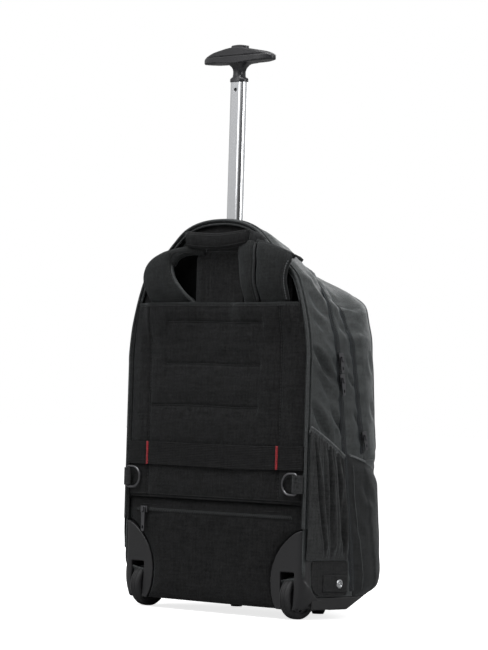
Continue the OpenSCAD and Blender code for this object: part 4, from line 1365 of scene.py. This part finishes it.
# Left strap (+X): comes from under the handle, rolls outwards, then down into the sleeve
strap("left_strap_pad",
      [(34, 83, 366), (38, 85.4, 389), (47, 92.5, 400), (58, 95.5, 412), (66, 95.5, 421),
       (71, 95, 431), (72.5, 93.5, 441), (69, 91, 449), (62, 88, 453)],
      [(120, 82.5, 366), (118, 85, 389), (117.5, 93, 400), (120.5, 97.5, 411), (122, 98, 423),
       (117.5, 98, 436), (106, 97, 446.5), (86, 95.5, 455), (63, 92.5, 460)],
      9.0, rise=2.0, wobble=.8, seed=2.2, replaces="left_shoulder_strap", inflated=True)
strap("left_strap_root",
      [(24, 83.6, 449), (40, 86, 450), (54, 89, 448.5), (64, 91.5, 444), (70, 92.5, 436)],
      [(24, 84.5, 460), (42, 88, 461.5), (59, 91.5, 460.5), (74, 94, 455), (83, 94.5, 447)],
      7.0, rise=1.2, seed=5.1)
path = spline([(38, 90.4, 389), (47, 97, 400), (58, 100, 412), (66, 100, 421),
               (71, 99.4, 431), (72.5, 97.8, 441), (69, 95.2, 449)], 60)
cord("left_strap_binding", path + [1.2, -2.6, 0], 1.7)

# Right strap (-X): a narrow yoke and the broad pad beside it
strap("right_strap_yoke",
      [(-44, 81.8, 366), (-48, 84.6, 389), (-45, 90.5, 414), (-42, 91.5, 440),
       (-40, 91.0, 455), (-43, 88, 465)],
      [(-76, 83, 366), (-74.5, 85.6, 389), (-71, 92.6, 414), (-71, 93.5, 439),
       (-69, 93, 457), (-67, 89.5, 466.5)],
      6.5, rise=.7, wobble=.45, seed=7.0, inflated=True)
strap("right_strap_pad",
      [(-77, 83.6, 366), (-78, 86, 389), (-75, 93.4, 413), (-75.5, 94.5, 439),
       (-74, 94, 456), (-73, 90, 465.5)],
      [(-124, 80.8, 366), (-123.5, 83.4, 389), (-123.5, 91, 414), (-127, 93, 433),
       (-132, 91.5, 443), (-128, 88, 451)],
      8.5, wobble=.7, seed=9.3, replaces="right_shoulder_strap", inflated=True)
# Cord along the pad's folded edge, a real fold; its paler webbing colour paints the highlight on
# that edge
path = spline([(-76, 90.5, 390.5), (-73.2, 96.8, 415), (-73.8, 97.8, 439),
               (-72.2, 96.6, 455), (-71, 93, 463.5)], 60)
cord("right_strap_fold_highlight", path, 1.6, look="web_z")
path = spline([(-121.6, 87.2, 391.5), (-121.6, 93.9, 415), (-125.2, 95.2, 432),
               (-129.8, 93.8, 442)], 60)
normal = (-.25, .97, 0)
profile = [(-3.2, -1.2), (3.0, -2.4), (3.2, -.6), (2.2, .5), (-2.6, 1.0), (-3.2, .2)]
make("right_strap_binding", *sweep(path, profile, normal), "strap", recalc=True)
sew("right_strap_binding_stitch", path, normal, lift=.85, look="thread_pale", pitch=2.9,
    length=2.0, width=1.1, height=.5)
# end of the strap's top edge, folded over the shoulder of the bag
strap("right_strap_top_roll",
      [(-70, 84, 463), (-90, 85.5, 457.5), (-112, 85.5, 450), (-130, 84.5, 443.5)],
      [(-70, 90, 467.5), (-90, 92.5, 463), (-112, 92.0, 456.5), (-131, 89.5, 449)],
      5.0, rise=.6, wobble=.3, seed=3.3, stitched=False)

# Near-black mesh sheets in the two hollows beside the straps, painting the shadow the straps cast
# there: tag, x range, top z
for tag, x_low, x_high, z_top in (("l", 41.5, 100, 458), ("r", -151.5, -117, 446)):
    z = np.linspace(384, z_top, 40)
    x = np.linspace(np.maximum(x_low, -half_width(z, 6.5)),
                    np.minimum(x_high, half_width(z, 8.0)), 34, axis=1)
    z = z[:, None]
    y = (80.6 + .35 * noise_at(xyz(x, 0, z), 12, 2.0)
         - 3.0 * np.sin(np.linspace(0, math.pi, 34)) ** .6)
    puff(f"strap_hollow_shadow_mesh_{tag}", x, y, z, 1.0, "hollow")


def centre_pad():
    """Padded centre between the straps, rounded at its top corner on the +X side."""
    pad_top, radius, x_left, x_right = 455, 13.0, 41, -46
    z = np.linspace(368, pad_top, 46)[:, None]
    drop = np.clip(radius * radius - (z - pad_top + radius) ** 2, 0, None)
    x_edge = np.where(z > pad_top - radius, x_left - radius + np.sqrt(drop), x_left)
    x = x_right + (ACROSS[::2] + 1) / 2 * (x_edge - x_right)
    edge = nearest(x + 60, x_edge - x, pad_top - z)
    y = (82.6 + 4.2 * np.sqrt(np.clip(edge / 13, 0, 1))
         + .5 * noise_at(xyz(x, 0, z), 30, 6.6) - .6 * bell(x - 14, 1.2))
    puff("centre_pad", x, y, z, 4.0, "back")


centre_pad()

# ------------------------------------------------------------------ grab handle

# Padded loop, sagging a little between its tacks
strap("grab_handle_pad",
      [(49.5, 90.5, 461), (34, 93.6, 458.4), (17, 94.8, 457), (0, 95.0, 456.4),
       (-17, 94.8, 456.6), (-34, 93.9, 458.2), (-56.5, 90.5, 462)],
      [(50, 90.5, 480), (34, 93.4, 479), (17, 94.6, 477.6), (0, 95.0, 476.8),
       (-17, 94.8, 477), (-34, 93.6, 478.4), (-56.5, 90.3, 481)],
      8.6, look="lower", rise=1.0, wobble=.45, seed=4.4, count=44, body="handle",
      replaces="grab_handle", inset=3.4, inflated=True)


def handle_end(sign, tag, x_inner, x_outer, z_low, z_high, z_tack):
    """Webbing from the handle to the bag, riding on no body."""
    x_pad, x_middle = sign * (x_inner - 3), sign * (x_inner + x_outer) / 2
    low = [(x_pad, 88, z_low), (x_middle, 85.6, z_low + 2.6),
           (sign * x_outer, 83.6, z_tack - 3.5)]
    high = [(x_pad, 88, z_high), (x_middle, 85.6, (z_high + z_tack) / 2 + 2.2),
            (sign * x_outer, 83.6, z_tack + 2.0)]
    piece = make(f"handle_end_webbing_{tag}",
                 *pillow(low, high, 2.2, rise=.4, count=14, power=.35), "web_z", recalc=True)
    # release it from the root body
    piece.parent = None
    piece.matrix_world = Matrix.Identity(4)
    if "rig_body" in piece:
        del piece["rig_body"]
    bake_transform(piece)


handle_end(1, "l", x_inner=49, x_outer=62, z_low=462, z_high=479.5, z_tack=478)
handle_end(-1, "r", x_inner=56, x_outer=80, z_low=462.5, z_high=481, z_tack=467.5)
path = spline([(-56.6, 90.6, 480.5), (-57.6, 89.4, 474), (-57.2, 89.6, 466),
               (-56.0, 90.4, 462.6)], 30)
cord("handle_end_fold", path, 1.2, look="web_z", body="handle", sides=8)

# The pull of a hidden pocket, standing out by the right shoulder
path = spline([(-127, 84.5, 447.5), (-134, 86, 446.2), (-140, 87, 443.6),
               (-145.5, 87.3, 440.4)], 24)
swell = np.interp(np.linspace(0, 1, 24), [0, .1, .55, .7, 1], [.6, .9, .8, 1.25, 1.15])
make("shoulder_pocket_pull", *sweep(path, circle(1.9, squash=.7), BACK, scale=swell), "strap")

# ------------------------------------------------------------------ strap rings

RING_X, RING_Y, RING_RADIUS = 149.0, 90.6, 13.0
RING_Z = sum(corner[2] for corner in node_box("left_strap_ring")) / 2
# Webbing doubled round the ring's bar: x, y, from the piping round and back
RING_WEB = [(155.6, 85.2), (153.5, 86.0), (149.5, 87.4), (145.6, 88.3), (143.6, 89.6),
            (143.6, 91.6), (145.4, 93.0), (148.9, 93.4), (152.4, 92.0), (154.6, 89.4),
            (156.4, 86.6)]


def strap_ring(sign, tag):
    """A D-shaped wire ring and the webbing that holds it."""
    radius = RING_RADIUS
    corner = [(RING_X, radius - 2.2), (RING_X - 1.2, radius - .6), (RING_X - 3.4, radius)]
    outline = corner + [(RING_X - 10.5 - 12.5 * math.cos(a), radius * math.sin(a))
                        for a in np.linspace(math.pi / 2, -math.pi / 2, 40)]
    outline += [(x, -rise) for x, rise in corner[::-1]]
    outline += [(RING_X, rise) for rise in np.linspace(4.5 - radius, radius - 4.5, 10)]
    wire = np.array([(sign * x, RING_Y, RING_Z + rise) for x, rise in outline])
    make(f"{tag}_ring_wire", *sweep(wire, circle(1.6, 14), closed=True), "gun",
         f"{tag}_ring", replaces=f"{tag}_strap_ring")

    path = spline([(x, y, 0) for x, y in RING_WEB], 40)
    tangent = unit(np.gradient(path, axis=0))
    shift = xyz(tangent[:, 1], -tangent[:, 0], 0) * .55
    z = np.linspace(RING_Z - 11.2, RING_Z + 11.2, 26)[:, None]
    outer, inner = (xyz(sign * face[:, 0], face[:, 1], z)
                    for face in (path + shift, path - shift))
    make(f"{tag}_ring_webbing", *solid_grid(outer, inner), "web_z", recalc=True,
         replaces="ring_tabs" if sign > 0 else None)
    sew(f"{tag}_ring_stitch",
        xyz(sign * 151.8, 92.5, np.linspace(RING_Z - 11, RING_Z + 11, 20)),
        (sign * .6, .8, 0), pitch=2.6, length=1.9, width=.8)


for sign, tag in LONG_SIDES:
    strap_ring(sign, tag)

# ------------------------------------------------------------------ side pockets

# Pleats: place along the top and along the bottom (0 rear, 1 front), width, depth
PLEATS = [(.09, .44, .022, 4.2), (.30, .50, .03, 2.0), (.49, .56, .036, 6.2),
          (.60, .70, .02, 1.6), (.74, .92, .038, 5.6), (.92, .86, .022, 2.6)]
HEM_RISE = 36 / 64                  # the hem rises towards the rear
POCKET_BASE, POCKET_REAR = 73.5, 80.2


def hem_z(y):
    return 202 + (y - 17) * 36 / 64


def pocket_bag(sign, tag):
    """Pleated stretch cloth; along runs from rear to front, up from base to hem."""
    along, up = np.meshgrid(np.linspace(0, 1, 150), np.linspace(0, 1, 90))
    y = POCKET_REAR + (5.5 + 13.0 * up - POCKET_REAR) * along
    z = POCKET_BASE + (hem_z(y) - 4.5 - POCKET_BASE) * up
    full = np.sin(np.pi * np.clip(along, .02, .98)) ** .5
    upright = ease(up / .16) * (.65 + .35 * ease((1 - up) / .2))
    bulge = 3.4 + 5.6 * full * upright
    for top, bottom, width, depth in PLEATS:
        offset = along - (bottom + (top - bottom) * up ** .8 + .006 * np.sin(up * 9 + top * 20))
        width = width * (.55 + .75 * np.sin(np.pi * np.clip(up * .85 + .1, 0, 1)))
        relief = (-depth * bell(offset, width)
                  + .25 * depth * bell(offset + 2.0 * width, width * .9)
                  + .6 * depth * bell(offset - 2.2 * width, width * 1.3))
        bulge += upright * relief * (.45 + .55 * np.sin(np.pi * np.clip(up, .06, .97)))
    # gathers under the hem
    bulge += .7 * np.sin(2 * math.pi * 13 * along + 2 * np.sin(5 * along)) * ease((up - .74) / .26)
    bulge += .5 * noise_at(xyz(sign * 160.0, y, z * .45), 16, 3.0 + sign) * upright
    bulge = np.maximum(bulge, .9)
    outer = xyz(sign * (HALF_WIDTH + bulge), y, z)[:, ::sign]
    inner = xyz(sign * (HALF_WIDTH + np.maximum(bulge - 1.2, .15)), y, z)[:, ::sign]
    make(f"side_pocket_{tag}", *solid_grid(outer, inner), "pocket", recalc=True,
         replaces="side_pockets" if sign < 0 else None)


def pocket_hem(sign, tag):
    """Ribbed elastic hem with its pale edge and a stitch row."""
    y = np.linspace(80.6, 17.6, 150)
    along = (80.6 - y) / 63
    x = (HALF_WIDTH + 2.2 + 3.4 * np.sin(np.pi * along) ** .7
         + .28 * np.sin(along * 2 * math.pi * 24))
    path = xyz(sign * x, y, hem_z(y) - 4.6)
    outward = (sign * 1.0, 0, 0)
    profile = [(4.5, -.7), (-4.5, -.7)]
    profile += [(k, .85 + .22 * math.cos(k * 2 * math.pi / 1.5))
                for k in np.linspace(-4.5, 4.5, 19)]
    profile = [(-sign * across, height) for across, height in profile]
    make(f"pocket_hem_{tag}", *sweep(path, profile, outward), "hem", recalc=True,
         replaces="pocket_hems" if sign < 0 else None)
    up = unit(np.array([0, -HEM_RISE, 1.0]))
    cord(f"pocket_hem_edge_{tag}", path + up * 4.6 + [sign * .3, 0, 0], 1.15, outward, "edge")
    sew(f"pocket_hem_stitch_{tag}", path - up * 3.3, outward, lift=.9, pitch=3.0, length=2.1)


def pocket_binding(sign, tag):
    """Binding down the pocket's front edge."""
    path, normals = on_skin(spline([(sign * 160, 17.5, 198), (sign * 160, 12.5, 160),
                                    (sign * 160, 7.5, 110), (sign * 160, 4.5, 74)], 70), .6)
    profile = [(-2.3, -.9), (2.3, -.9), (2.2, .4), (1.4, .9), (-1.4, .9), (-2.2, .4)]
    make(f"pocket_front_binding_{tag}", *sweep(path, profile, normals), "piping",
         recalc=True)


# ------------------------------------------------------------------ base patches, snap tabs

# Outline of the patch: y, z
PATCH = np.array([(3.5, 30), (2.5, 50), (3.0, 72.4), (36, 72.8), (70.0, 72.6), (70.2, 44),
                  (67.6, 38.5), (61, 32.2), (54, 29.4), (30, 29.2)], float)
PATCH_CENTRE = np.array([36.0, 52.0])
# Rings of the patch from its edge to its middle: share of the outline, height
PATCH_RINGS = [(1.0, .2), (1.0, 1.5), (.985, 2.1), (.95, 2.0), (.8, 2.35), (.5, 2.6),
               (.25, 2.65)]
# Snap on the tab: radius, height
SNAP = [(.01, 0), (5.6, 0), (5.6, .55), (5.2, 1.15), (4.4, 1.5), (3.7, 1.5), (3.3, 1.0),
        (3.1, .55), (1.7, .5), (1.5, .8), (.9, 1.15), (.01, 1.2)]
SNAP_Y, SNAP_Z = 21.0, 44.5


def rounded_outline(corners, radius):
    """Closed outline with each corner replaced by a short curve."""
    points = []
    for before, corner, after in zip(np.roll(corners, 1, 0), corners, np.roll(corners, -1, 0)):
        cut = min(radius, np.linalg.norm(corner - before) * .45,
                  np.linalg.norm(after - corner) * .45)
        start = corner + unit(before - corner) * cut
        end = corner + unit(after - corner) * cut
        for t in np.linspace(0, 1, 6):
            points.append((1 - t) ** 2 * start + 2 * t * (1 - t) * corner + t * t * end)
    return resample(np.array(points + [points[0]]), 160)[:-1]


def base_patch(sign, tag):
    ring = rounded_outline(PATCH, radius=4.0)
    count = len(ring)
    points = []
    for share, height in PATCH_RINGS:
        y, z = (PATCH_CENTRE + (ring - PATCH_CENTRE) * share).T
        if share < .9:
            height = height + .25 * noise_at(xyz(160.0 * sign, y, z), 18, 8.0)
        points.append(xyz(sign * (HALF_WIDTH + height), y, z))
    points.append([(sign * (HALF_WIDTH + height), *PATCH_CENTRE) for height in (2.6, .2)])
    faces = tube_faces(len(PATCH_RINGS), count, ends=False)
    middle = len(PATCH_RINGS) * count
    for i in range(count):
        j = (i + 1) % count
        faces.append((middle - count + i, middle - count + j, middle))
        faces.append((j, i, middle + 1))
    make(f"base_patch_{tag}", np.vstack(points), faces, "patch", recalc=True,
         replaces="side_base_patches" if sign < 0 else None)
    y, z = (PATCH_CENTRE + (np.vstack([ring, ring[:1]]) - PATCH_CENTRE) * .955).T
    sew(f"base_patch_stitch_{tag}", xyz(sign * (HALF_WIDTH + 2.1), y, z), (sign * 1.0, 0, 0))


def side_tab(sign, tag):
    """Tab of doubled webbing with two stitched boxes and a plain snap."""
    y, z = np.meshgrid(np.linspace(6.5, 50, 50), np.linspace(34.6, 55.4, 26))
    edge = nearest(y - 6.0, 50.5 - y, z - 34.2, 55.8 - z)
    x = (HALF_WIDTH + 2.7 + 1.5 * np.clip(edge / 1.4, 0, 1) ** .5 + .5 * bell(y - 28, 14)
         + .12 * np.sin(z * 2 * math.pi / 1.9))
    make(f"side_tab_{tag}",
         *solid_grid(xyz(sign * x, y, z), xyz(sign * (HALF_WIDTH + 2.5), y, z)),
         "patch", recalc=True, replaces="side_tabs" if sign < 0 else None)
    z_low, z_high = 37, 53
    for front, rear in ((33, 47.5), (8.5, 12.5)):
        box = np.array([(front, z_low), (front, z_high), (rear, z_high), (rear, z_low),
                        (front, z_low)], float)
        y, z = resample(box, 60).T
        sew(f"side_tab_stitch_{tag}_{int(front)}", xyz(sign * (HALF_WIDTH + 4.25), y, z),
            (sign * 1.0, 0, 0), pitch=2.8, length=2.0, width=.7)
    count = 44
    points = [(sign * (HALF_WIDTH + 4.3 + height), SNAP_Y - sign * math.sin(a) * radius,
               SNAP_Z + math.cos(a) * radius)
              for radius, height in SNAP
              for a in (2 * math.pi * i / count for i in range(count))]
    make(f"side_snap_{tag}", points, tube_faces(len(SNAP), count), "bright", sharp=45,
         recalc=True)


for sign, tag in SIDES:
    for build in (pocket_bag, pocket_hem, pocket_binding, base_patch, side_tab):
        build(sign, tag)


# ------------------------------------------------------------------ mouldings

def wheel_housing(sign, tag):
    """The CAD housing softened, its foot moved in round the wheel."""
    node = f"{tag}_wheel_housing"
    points, faces = remeshed(*node_mesh(node), voxel=1.05, rounds=13)
    x, z = points[:, 0] * sign, points[:, 2]
    wall_inner, wall_outer, side = 123.0, 140.0, 157.5
    inner_now = np.interp(z, [8, 13, 28, 42, 50], [88, 88, 95, 103, 103.9])
    outer = side - 8.0 * np.clip((40 - z) / 27, 0, 1) ** 2
    inner_scale = (wall_inner - housing_inner(z)) / (wall_inner - inner_now)
    outer_scale = (outer - wall_outer) / (side - wall_outer)
    x = np.where((z < HOUSING_FOOT_TOP) & (x < wall_inner),
                 wall_inner - (wall_inner - x) * inner_scale, x)
    x = np.where((z < 40) & (x > wall_outer), wall_outer + (x - wall_outer) * outer_scale, x)
    points[:, 0] = x * sign
    make(f"wheel_housing_{tag}", points, faces, "housing", replaces=node)


def wing_swell(points):
    """The grip is thicker away from its middle."""
    return 1.0 * ease((np.abs(points[:, 0]) - 22) / 22)


def grip_neck():
    """Flared neck under the grip, starting round the inner tube."""
    low, high = node_box("inner_tube")
    tube_x, tube_y = (high - low)[:2] / 2
    # z, half width, half depth
    sections = [(z, tube_x + more, tube_y + more)
                for z, more in ((671.15, .2), (671.6, 1.3), (674.6, 1.3), (675.8, .7))]
    sections += [(677.4, 8.6, 7.6), (680.5, 8.1, 7.1), (684.5, 8.1, 7.1), (687.5, 8.9, 7.5),
                 (690.2, 11.0, 8.2), (692.6, 14.6, 9.1), (694.6, 20.0, 10.0),
                 (696.3, 27.0, 10.6), (697.4, 33.0, 10.4)]
    points, count = [], 48
    for z, half_x, half_y in sections:
        for i in range(count):
            angle = 2 * math.pi * i / count
            c, s = math.cos(angle), math.sin(angle)
            points.append((half_x * math.copysign(abs(c) ** .82, c),
                           TROLLEY_Y + half_y * math.copysign(abs(s) ** .82, s), z))
    make("grip_neck", points, tube_faces(len(sections), count), "grip", "trolley_inner",
         sharp=55, recalc=True)


for sign, tag in LONG_SIDES:
    wheel_housing(sign, tag)
soften("base_tray_moulding", "base_tray", 1.3, "tray", rounds=5)
soften("grip_lower", "grip_lower_shell", .75, "grip", "trolley_inner", push=wing_swell)
soften("grip_upper", "grip_upper_shell", .75, "grip", "trolley_inner", push=wing_swell)
grip_neck()
soften("grip_button", "release_button", .6, "button", "release_button_body")

# ------------------------------------------------------------------ tyres

TYRE_HALF = 7.5
# Half of the tyre's section, from the rim to the centre line: radius, distance from centre
TYRE = [(19.1, TYRE_HALF - .6), (21.0, TYRE_HALF), (24.0, TYRE_HALF - .1),
        (25.9, TYRE_HALF - 1.2), (26.8, TYRE_HALF - 2.9), (26.9, 3.3), (26.45, 3.0),
        (26.45, 2.6), (26.95, 2.3), (27.0, .5), (26.75, .15)]


def tyre(sign, tag):
    """Tyre with a moulded centre line and shoulder grooves."""
    section = [(radius, -offset) for radius, offset in TYRE] + TYRE[::-1]
    axle_x, axle_y, axle_z = AXLE
    count = 96
    points = [(sign * axle_x + offset, axle_y + radius * math.cos(a),
               axle_z + radius * math.sin(a))
              for radius, offset in section
              for a in (2 * math.pi * i / count for i in range(count))]
    make(f"{tag}_tyre_rubber", points, tube_faces(len(section), count, closed=True), "tyre",
         f"{tag}_wheel", sharp=35, recalc=True, replaces=f"{tag}_tyre")


for sign, tag in LONG_SIDES:
    tyre(sign, tag)

# ------------------------------------------------------------------ CAD pieces that stay

KEPT = [
    ("post", "outer_tube middle_tube inner_tube"),
    ("housing", "outer_tube_guide middle_tube_guide trolley_base_bracket trolley_exit_bezel"),
    ("steel", "button_spring release_rod"),
    ("inner", "lock_block"),
    ("steel", "lock_pin housing_screws wheel_axles left_wheel_bearings right_wheel_bearings"),
    ("housing", "left_wheel_hub right_wheel_hub"),
    ("foot", "front_feet"),
    ("inner", "back_frame_sheet"),
    ("lining", "trolley_cover_panel"),
    ("gun", "main_zip_slider_top main_zip_pull_top main_zip_slider_low main_zip_pull_low "
            "flap_zip_slider flap_zip_pull lower_zip_slider lower_zip_pull"),
]


def keep_node(name, look):
    """Dress a CAD node and soften its edges."""
    piece = NODES[name]
    slot, material = LOOKS[look]
    piece.data.materials.clear()
    piece.data.materials.append(material)
    if name in ("button_spring", "front_feet"):
        return
    piece.modifiers.new("join", "WELD").merge_threshold = 2e-6
    bevel = piece.modifiers.new("edge", "BEVEL")
    bevel.limit_method, bevel.angle_limit = "ANGLE", math.radians(38)
    bevel.segments = 2
    bevel.width = (.25 if look == "gun" else .35) * MM
    bevel.use_clamp_overlap = True


for look, names in KEPT:
    for name in names.split():
        keep_node(name, look)


# ------------------------------------------------------------------ laptop sleeve

def laptop_sleeve():
    """Padded sleeve inside: quilted face, bound top edge and a floor."""
    x, z = np.meshgrid(np.linspace(-152.6, 152.6, 120), np.linspace(61.5, 239.5, 90))
    edge = nearest(x + 153, 153 - x, z - 61, 240 - z)
    quilt = np.minimum(np.abs((x + z) % 52 - 26), np.abs((x - z) % 52 - 26))
    y = 20.4 - 1.7 * ease(quilt / 13) * ease(edge / 12)
    make("laptop_sleeve_pad", *solid_grid(xyz(x, y, z), xyz(x, 21.3, z)), "lining",
         recalc=True, replaces="laptop_sleeve")
    path = xyz(np.linspace(-152.5, 152.5, 80), 20.0, 239.0)
    profile = [(-2.6, -1.0), (2.6, -1.0), (2.6, 1.0), (2.1, 1.5), (-2.1, 1.5), (-2.6, 1.0)]
    make("laptop_sleeve_binding", *sweep(path, profile, (0, -1., 0)), "web", recalc=True)
    x, y = np.meshgrid(np.linspace(-152.6, 152.6, 40), np.linspace(21.5, 45.4, 8))
    make("laptop_sleeve_floor", *solid_grid(xyz(x, y, 63.0), xyz(x, y, 61.2)), "lining",
         recalc=True)


laptop_sleeve()


# ------------------------------------------------------------------ studio, in metres

def map_range(nodes, source, target, smooth=False):
    """A map range node from one (low, high) to another."""
    node = nodes.new("ShaderNodeMapRange")
    if smooth:
        node.interpolation_type = "SMOOTHSTEP"
    node.inputs["From Min"].default_value, node.inputs["From Max"].default_value = source
    node.inputs["To Min"].default_value, node.inputs["To Max"].default_value = target
    return node


def floor_material():
    """Glows near white to the camera, a dim grey to every other ray."""
    material = bpy.data.materials.new("studio_floor")
    material.use_nodes = True
    nodes, link = material.node_tree.nodes, material.node_tree.links.new
    nodes.clear()
    output = nodes.new("ShaderNodeOutputMaterial")
    ray = nodes.new("ShaderNodeLightPath")
    geometry = nodes.new("ShaderNodeNewGeometry")
    white = nodes.new("ShaderNodeBsdfDiffuse")
    white.inputs[0].default_value = (.93, .93, .935, 1)
    dim = nodes.new("ShaderNodeBsdfDiffuse")
    dim.inputs[0].default_value = (.42, .42, .42, 1)
    glow = nodes.new("ShaderNodeEmission")
    seen = nodes.new("ShaderNodeAddShader")
    mix = nodes.new("ShaderNodeMixShader")
    distance = nodes.new("ShaderNodeVectorMath")
    distance.operation = "LENGTH"
    fade = map_range(nodes, (.35, 1.1), (.78, 1.0))
    link(geometry.outputs["Position"], distance.inputs[0])
    link(distance.outputs["Value"], fade.inputs["Value"])
    link(fade.outputs["Result"], glow.inputs["Strength"])
    link(white.outputs[0], seen.inputs[0])
    link(glow.outputs[0], seen.inputs[1])
    link(ray.outputs["Is Camera Ray"], mix.inputs[0])
    link(dim.outputs[0], mix.inputs[1])
    link(seen.outputs[0], mix.inputs[2])
    link(mix.outputs[0], output.inputs[0])
    return material


def studio_floor():
    half, z = 30, -.0004
    material = floor_material()
    mesh = bpy.data.meshes.new("studio_floor")
    mesh.from_pydata([(-half, -half, z), (half, -half, z), (half, half, z), (-half, half, z)],
                     [], [(0, 1, 2, 3)])
    floor = bpy.data.objects.new("studio_floor", mesh)
    bpy.context.scene.collection.objects.link(floor)
    mesh.materials.append(material)


def studio_world():
    """White to the camera, faint ambient light, and a shaded room for glossy rays."""
    world = bpy.data.worlds.new("studio")
    bpy.context.scene.world = world
    world.use_nodes = True
    nodes, link = world.node_tree.nodes, world.node_tree.links.new
    ambient = nodes["Background"]
    ambient.inputs[0].default_value = (1, 1, 1, 1)
    ambient.inputs[1].default_value = .15
    backdrop = nodes.new("ShaderNodeBackground")
    backdrop.inputs[0].default_value = (1, 1, 1, 1)
    backdrop.inputs[1].default_value = 1.0
    room = nodes.new("ShaderNodeBackground")
    ray = nodes.new("ShaderNodeLightPath")
    by_glossy = nodes.new("ShaderNodeMixShader")
    by_camera = nodes.new("ShaderNodeMixShader")
    # the room darkens towards the camera and straight away from it
    direction = nodes.new("ShaderNodeTexCoord")
    towards = nodes.new("ShaderNodeVectorMath")
    towards.operation = "DOT_PRODUCT"
    towards.inputs[1].default_value = (-.695, .719, 0)
    near_side = map_range(nodes, (.58, .9), (.8, .1), smooth=True)
    far_side = map_range(nodes, (-.97, -.72), (.12, 1.0), smooth=True)
    strength = nodes.new("ShaderNodeMath")
    strength.operation = "MULTIPLY"
    link(direction.outputs["Generated"], towards.inputs[0])
    for i, shade in enumerate((near_side, far_side)):
        link(towards.outputs["Value"], shade.inputs["Value"])
        link(shade.outputs["Result"], strength.inputs[i])
    link(strength.outputs[0], room.inputs[1])
    link(ray.outputs["Is Glossy Ray"], by_glossy.inputs[0])
    link(ambient.outputs[0], by_glossy.inputs[1])
    link(room.outputs[0], by_glossy.inputs[2])
    link(ray.outputs["Is Camera Ray"], by_camera.inputs[0])
    link(by_glossy.outputs[0], by_camera.inputs[1])
    link(backdrop.outputs[0], by_camera.inputs[2])
    link(by_camera.outputs[0], nodes["World Output"].inputs[0])


def softbox(name, place, aim_z, size, power):
    light = bpy.data.lights.new(name, "AREA")
    light.shape, light.energy = "RECTANGLE", power
    light.size, light.size_y = size
    lamp = bpy.data.objects.new(name, light)
    bpy.context.scene.collection.objects.link(lamp)
    lamp.location = place
    aim = Vector((0, 0, aim_z)) - Vector(place)
    lamp.rotation_euler = aim.to_track_quat("-Z", "Y").to_euler()


def camera():
    """Looks at the back and the -X side, slightly from below and slightly rolled."""
    azimuth, elevation, roll = (math.radians(angle) for angle in (224, -1.77, 1.7))
    distance = 3.696
    centre, shift_right = Vector((0, .060, .363)), .01658137
    lens = bpy.data.cameras.new("camera")
    viewer = bpy.data.objects.new("camera", lens)
    bpy.context.scene.collection.objects.link(viewer)
    bpy.context.scene.camera = viewer
    back = Vector((math.sin(azimuth) * math.cos(elevation),
                   -math.cos(azimuth) * math.cos(elevation), math.sin(elevation)))
    right = (-back).cross(Vector((0, 0, 1))).normalized()
    up = right.cross(-back).normalized()
    rolled_right = right * math.cos(roll) + up * math.sin(roll)
    rolled_up = up * math.cos(roll) - right * math.sin(roll)
    placed = Matrix((rolled_right, rolled_up, back)).transposed().to_4x4()
    placed.translation = centre + right * shift_right + back * distance
    viewer.matrix_world = placed
    lens.sensor_width, lens.lens = 36, 161.723077
    lens.clip_start, lens.clip_end = .05, 100


studio_floor()
studio_world()
softbox("softbox_right", (-2.5, .1, 1.5), aim_z=.35, size=(.9, 1.6), power=26)
softbox("softbox_left", (1.4, 2.6, 1.9), aim_z=.35, size=(1.3, 1.6), power=14)
softbox("softbox_top", (-.3, .9, 2.4), aim_z=.3, size=(1.6, 1.6), power=44)
softbox("softbox_front", (.9, -2.6, 1.5), aim_z=.3, size=(1.6, 1.8), power=24)
camera()
bpy.context.scene.view_settings.view_transform = "Standard"
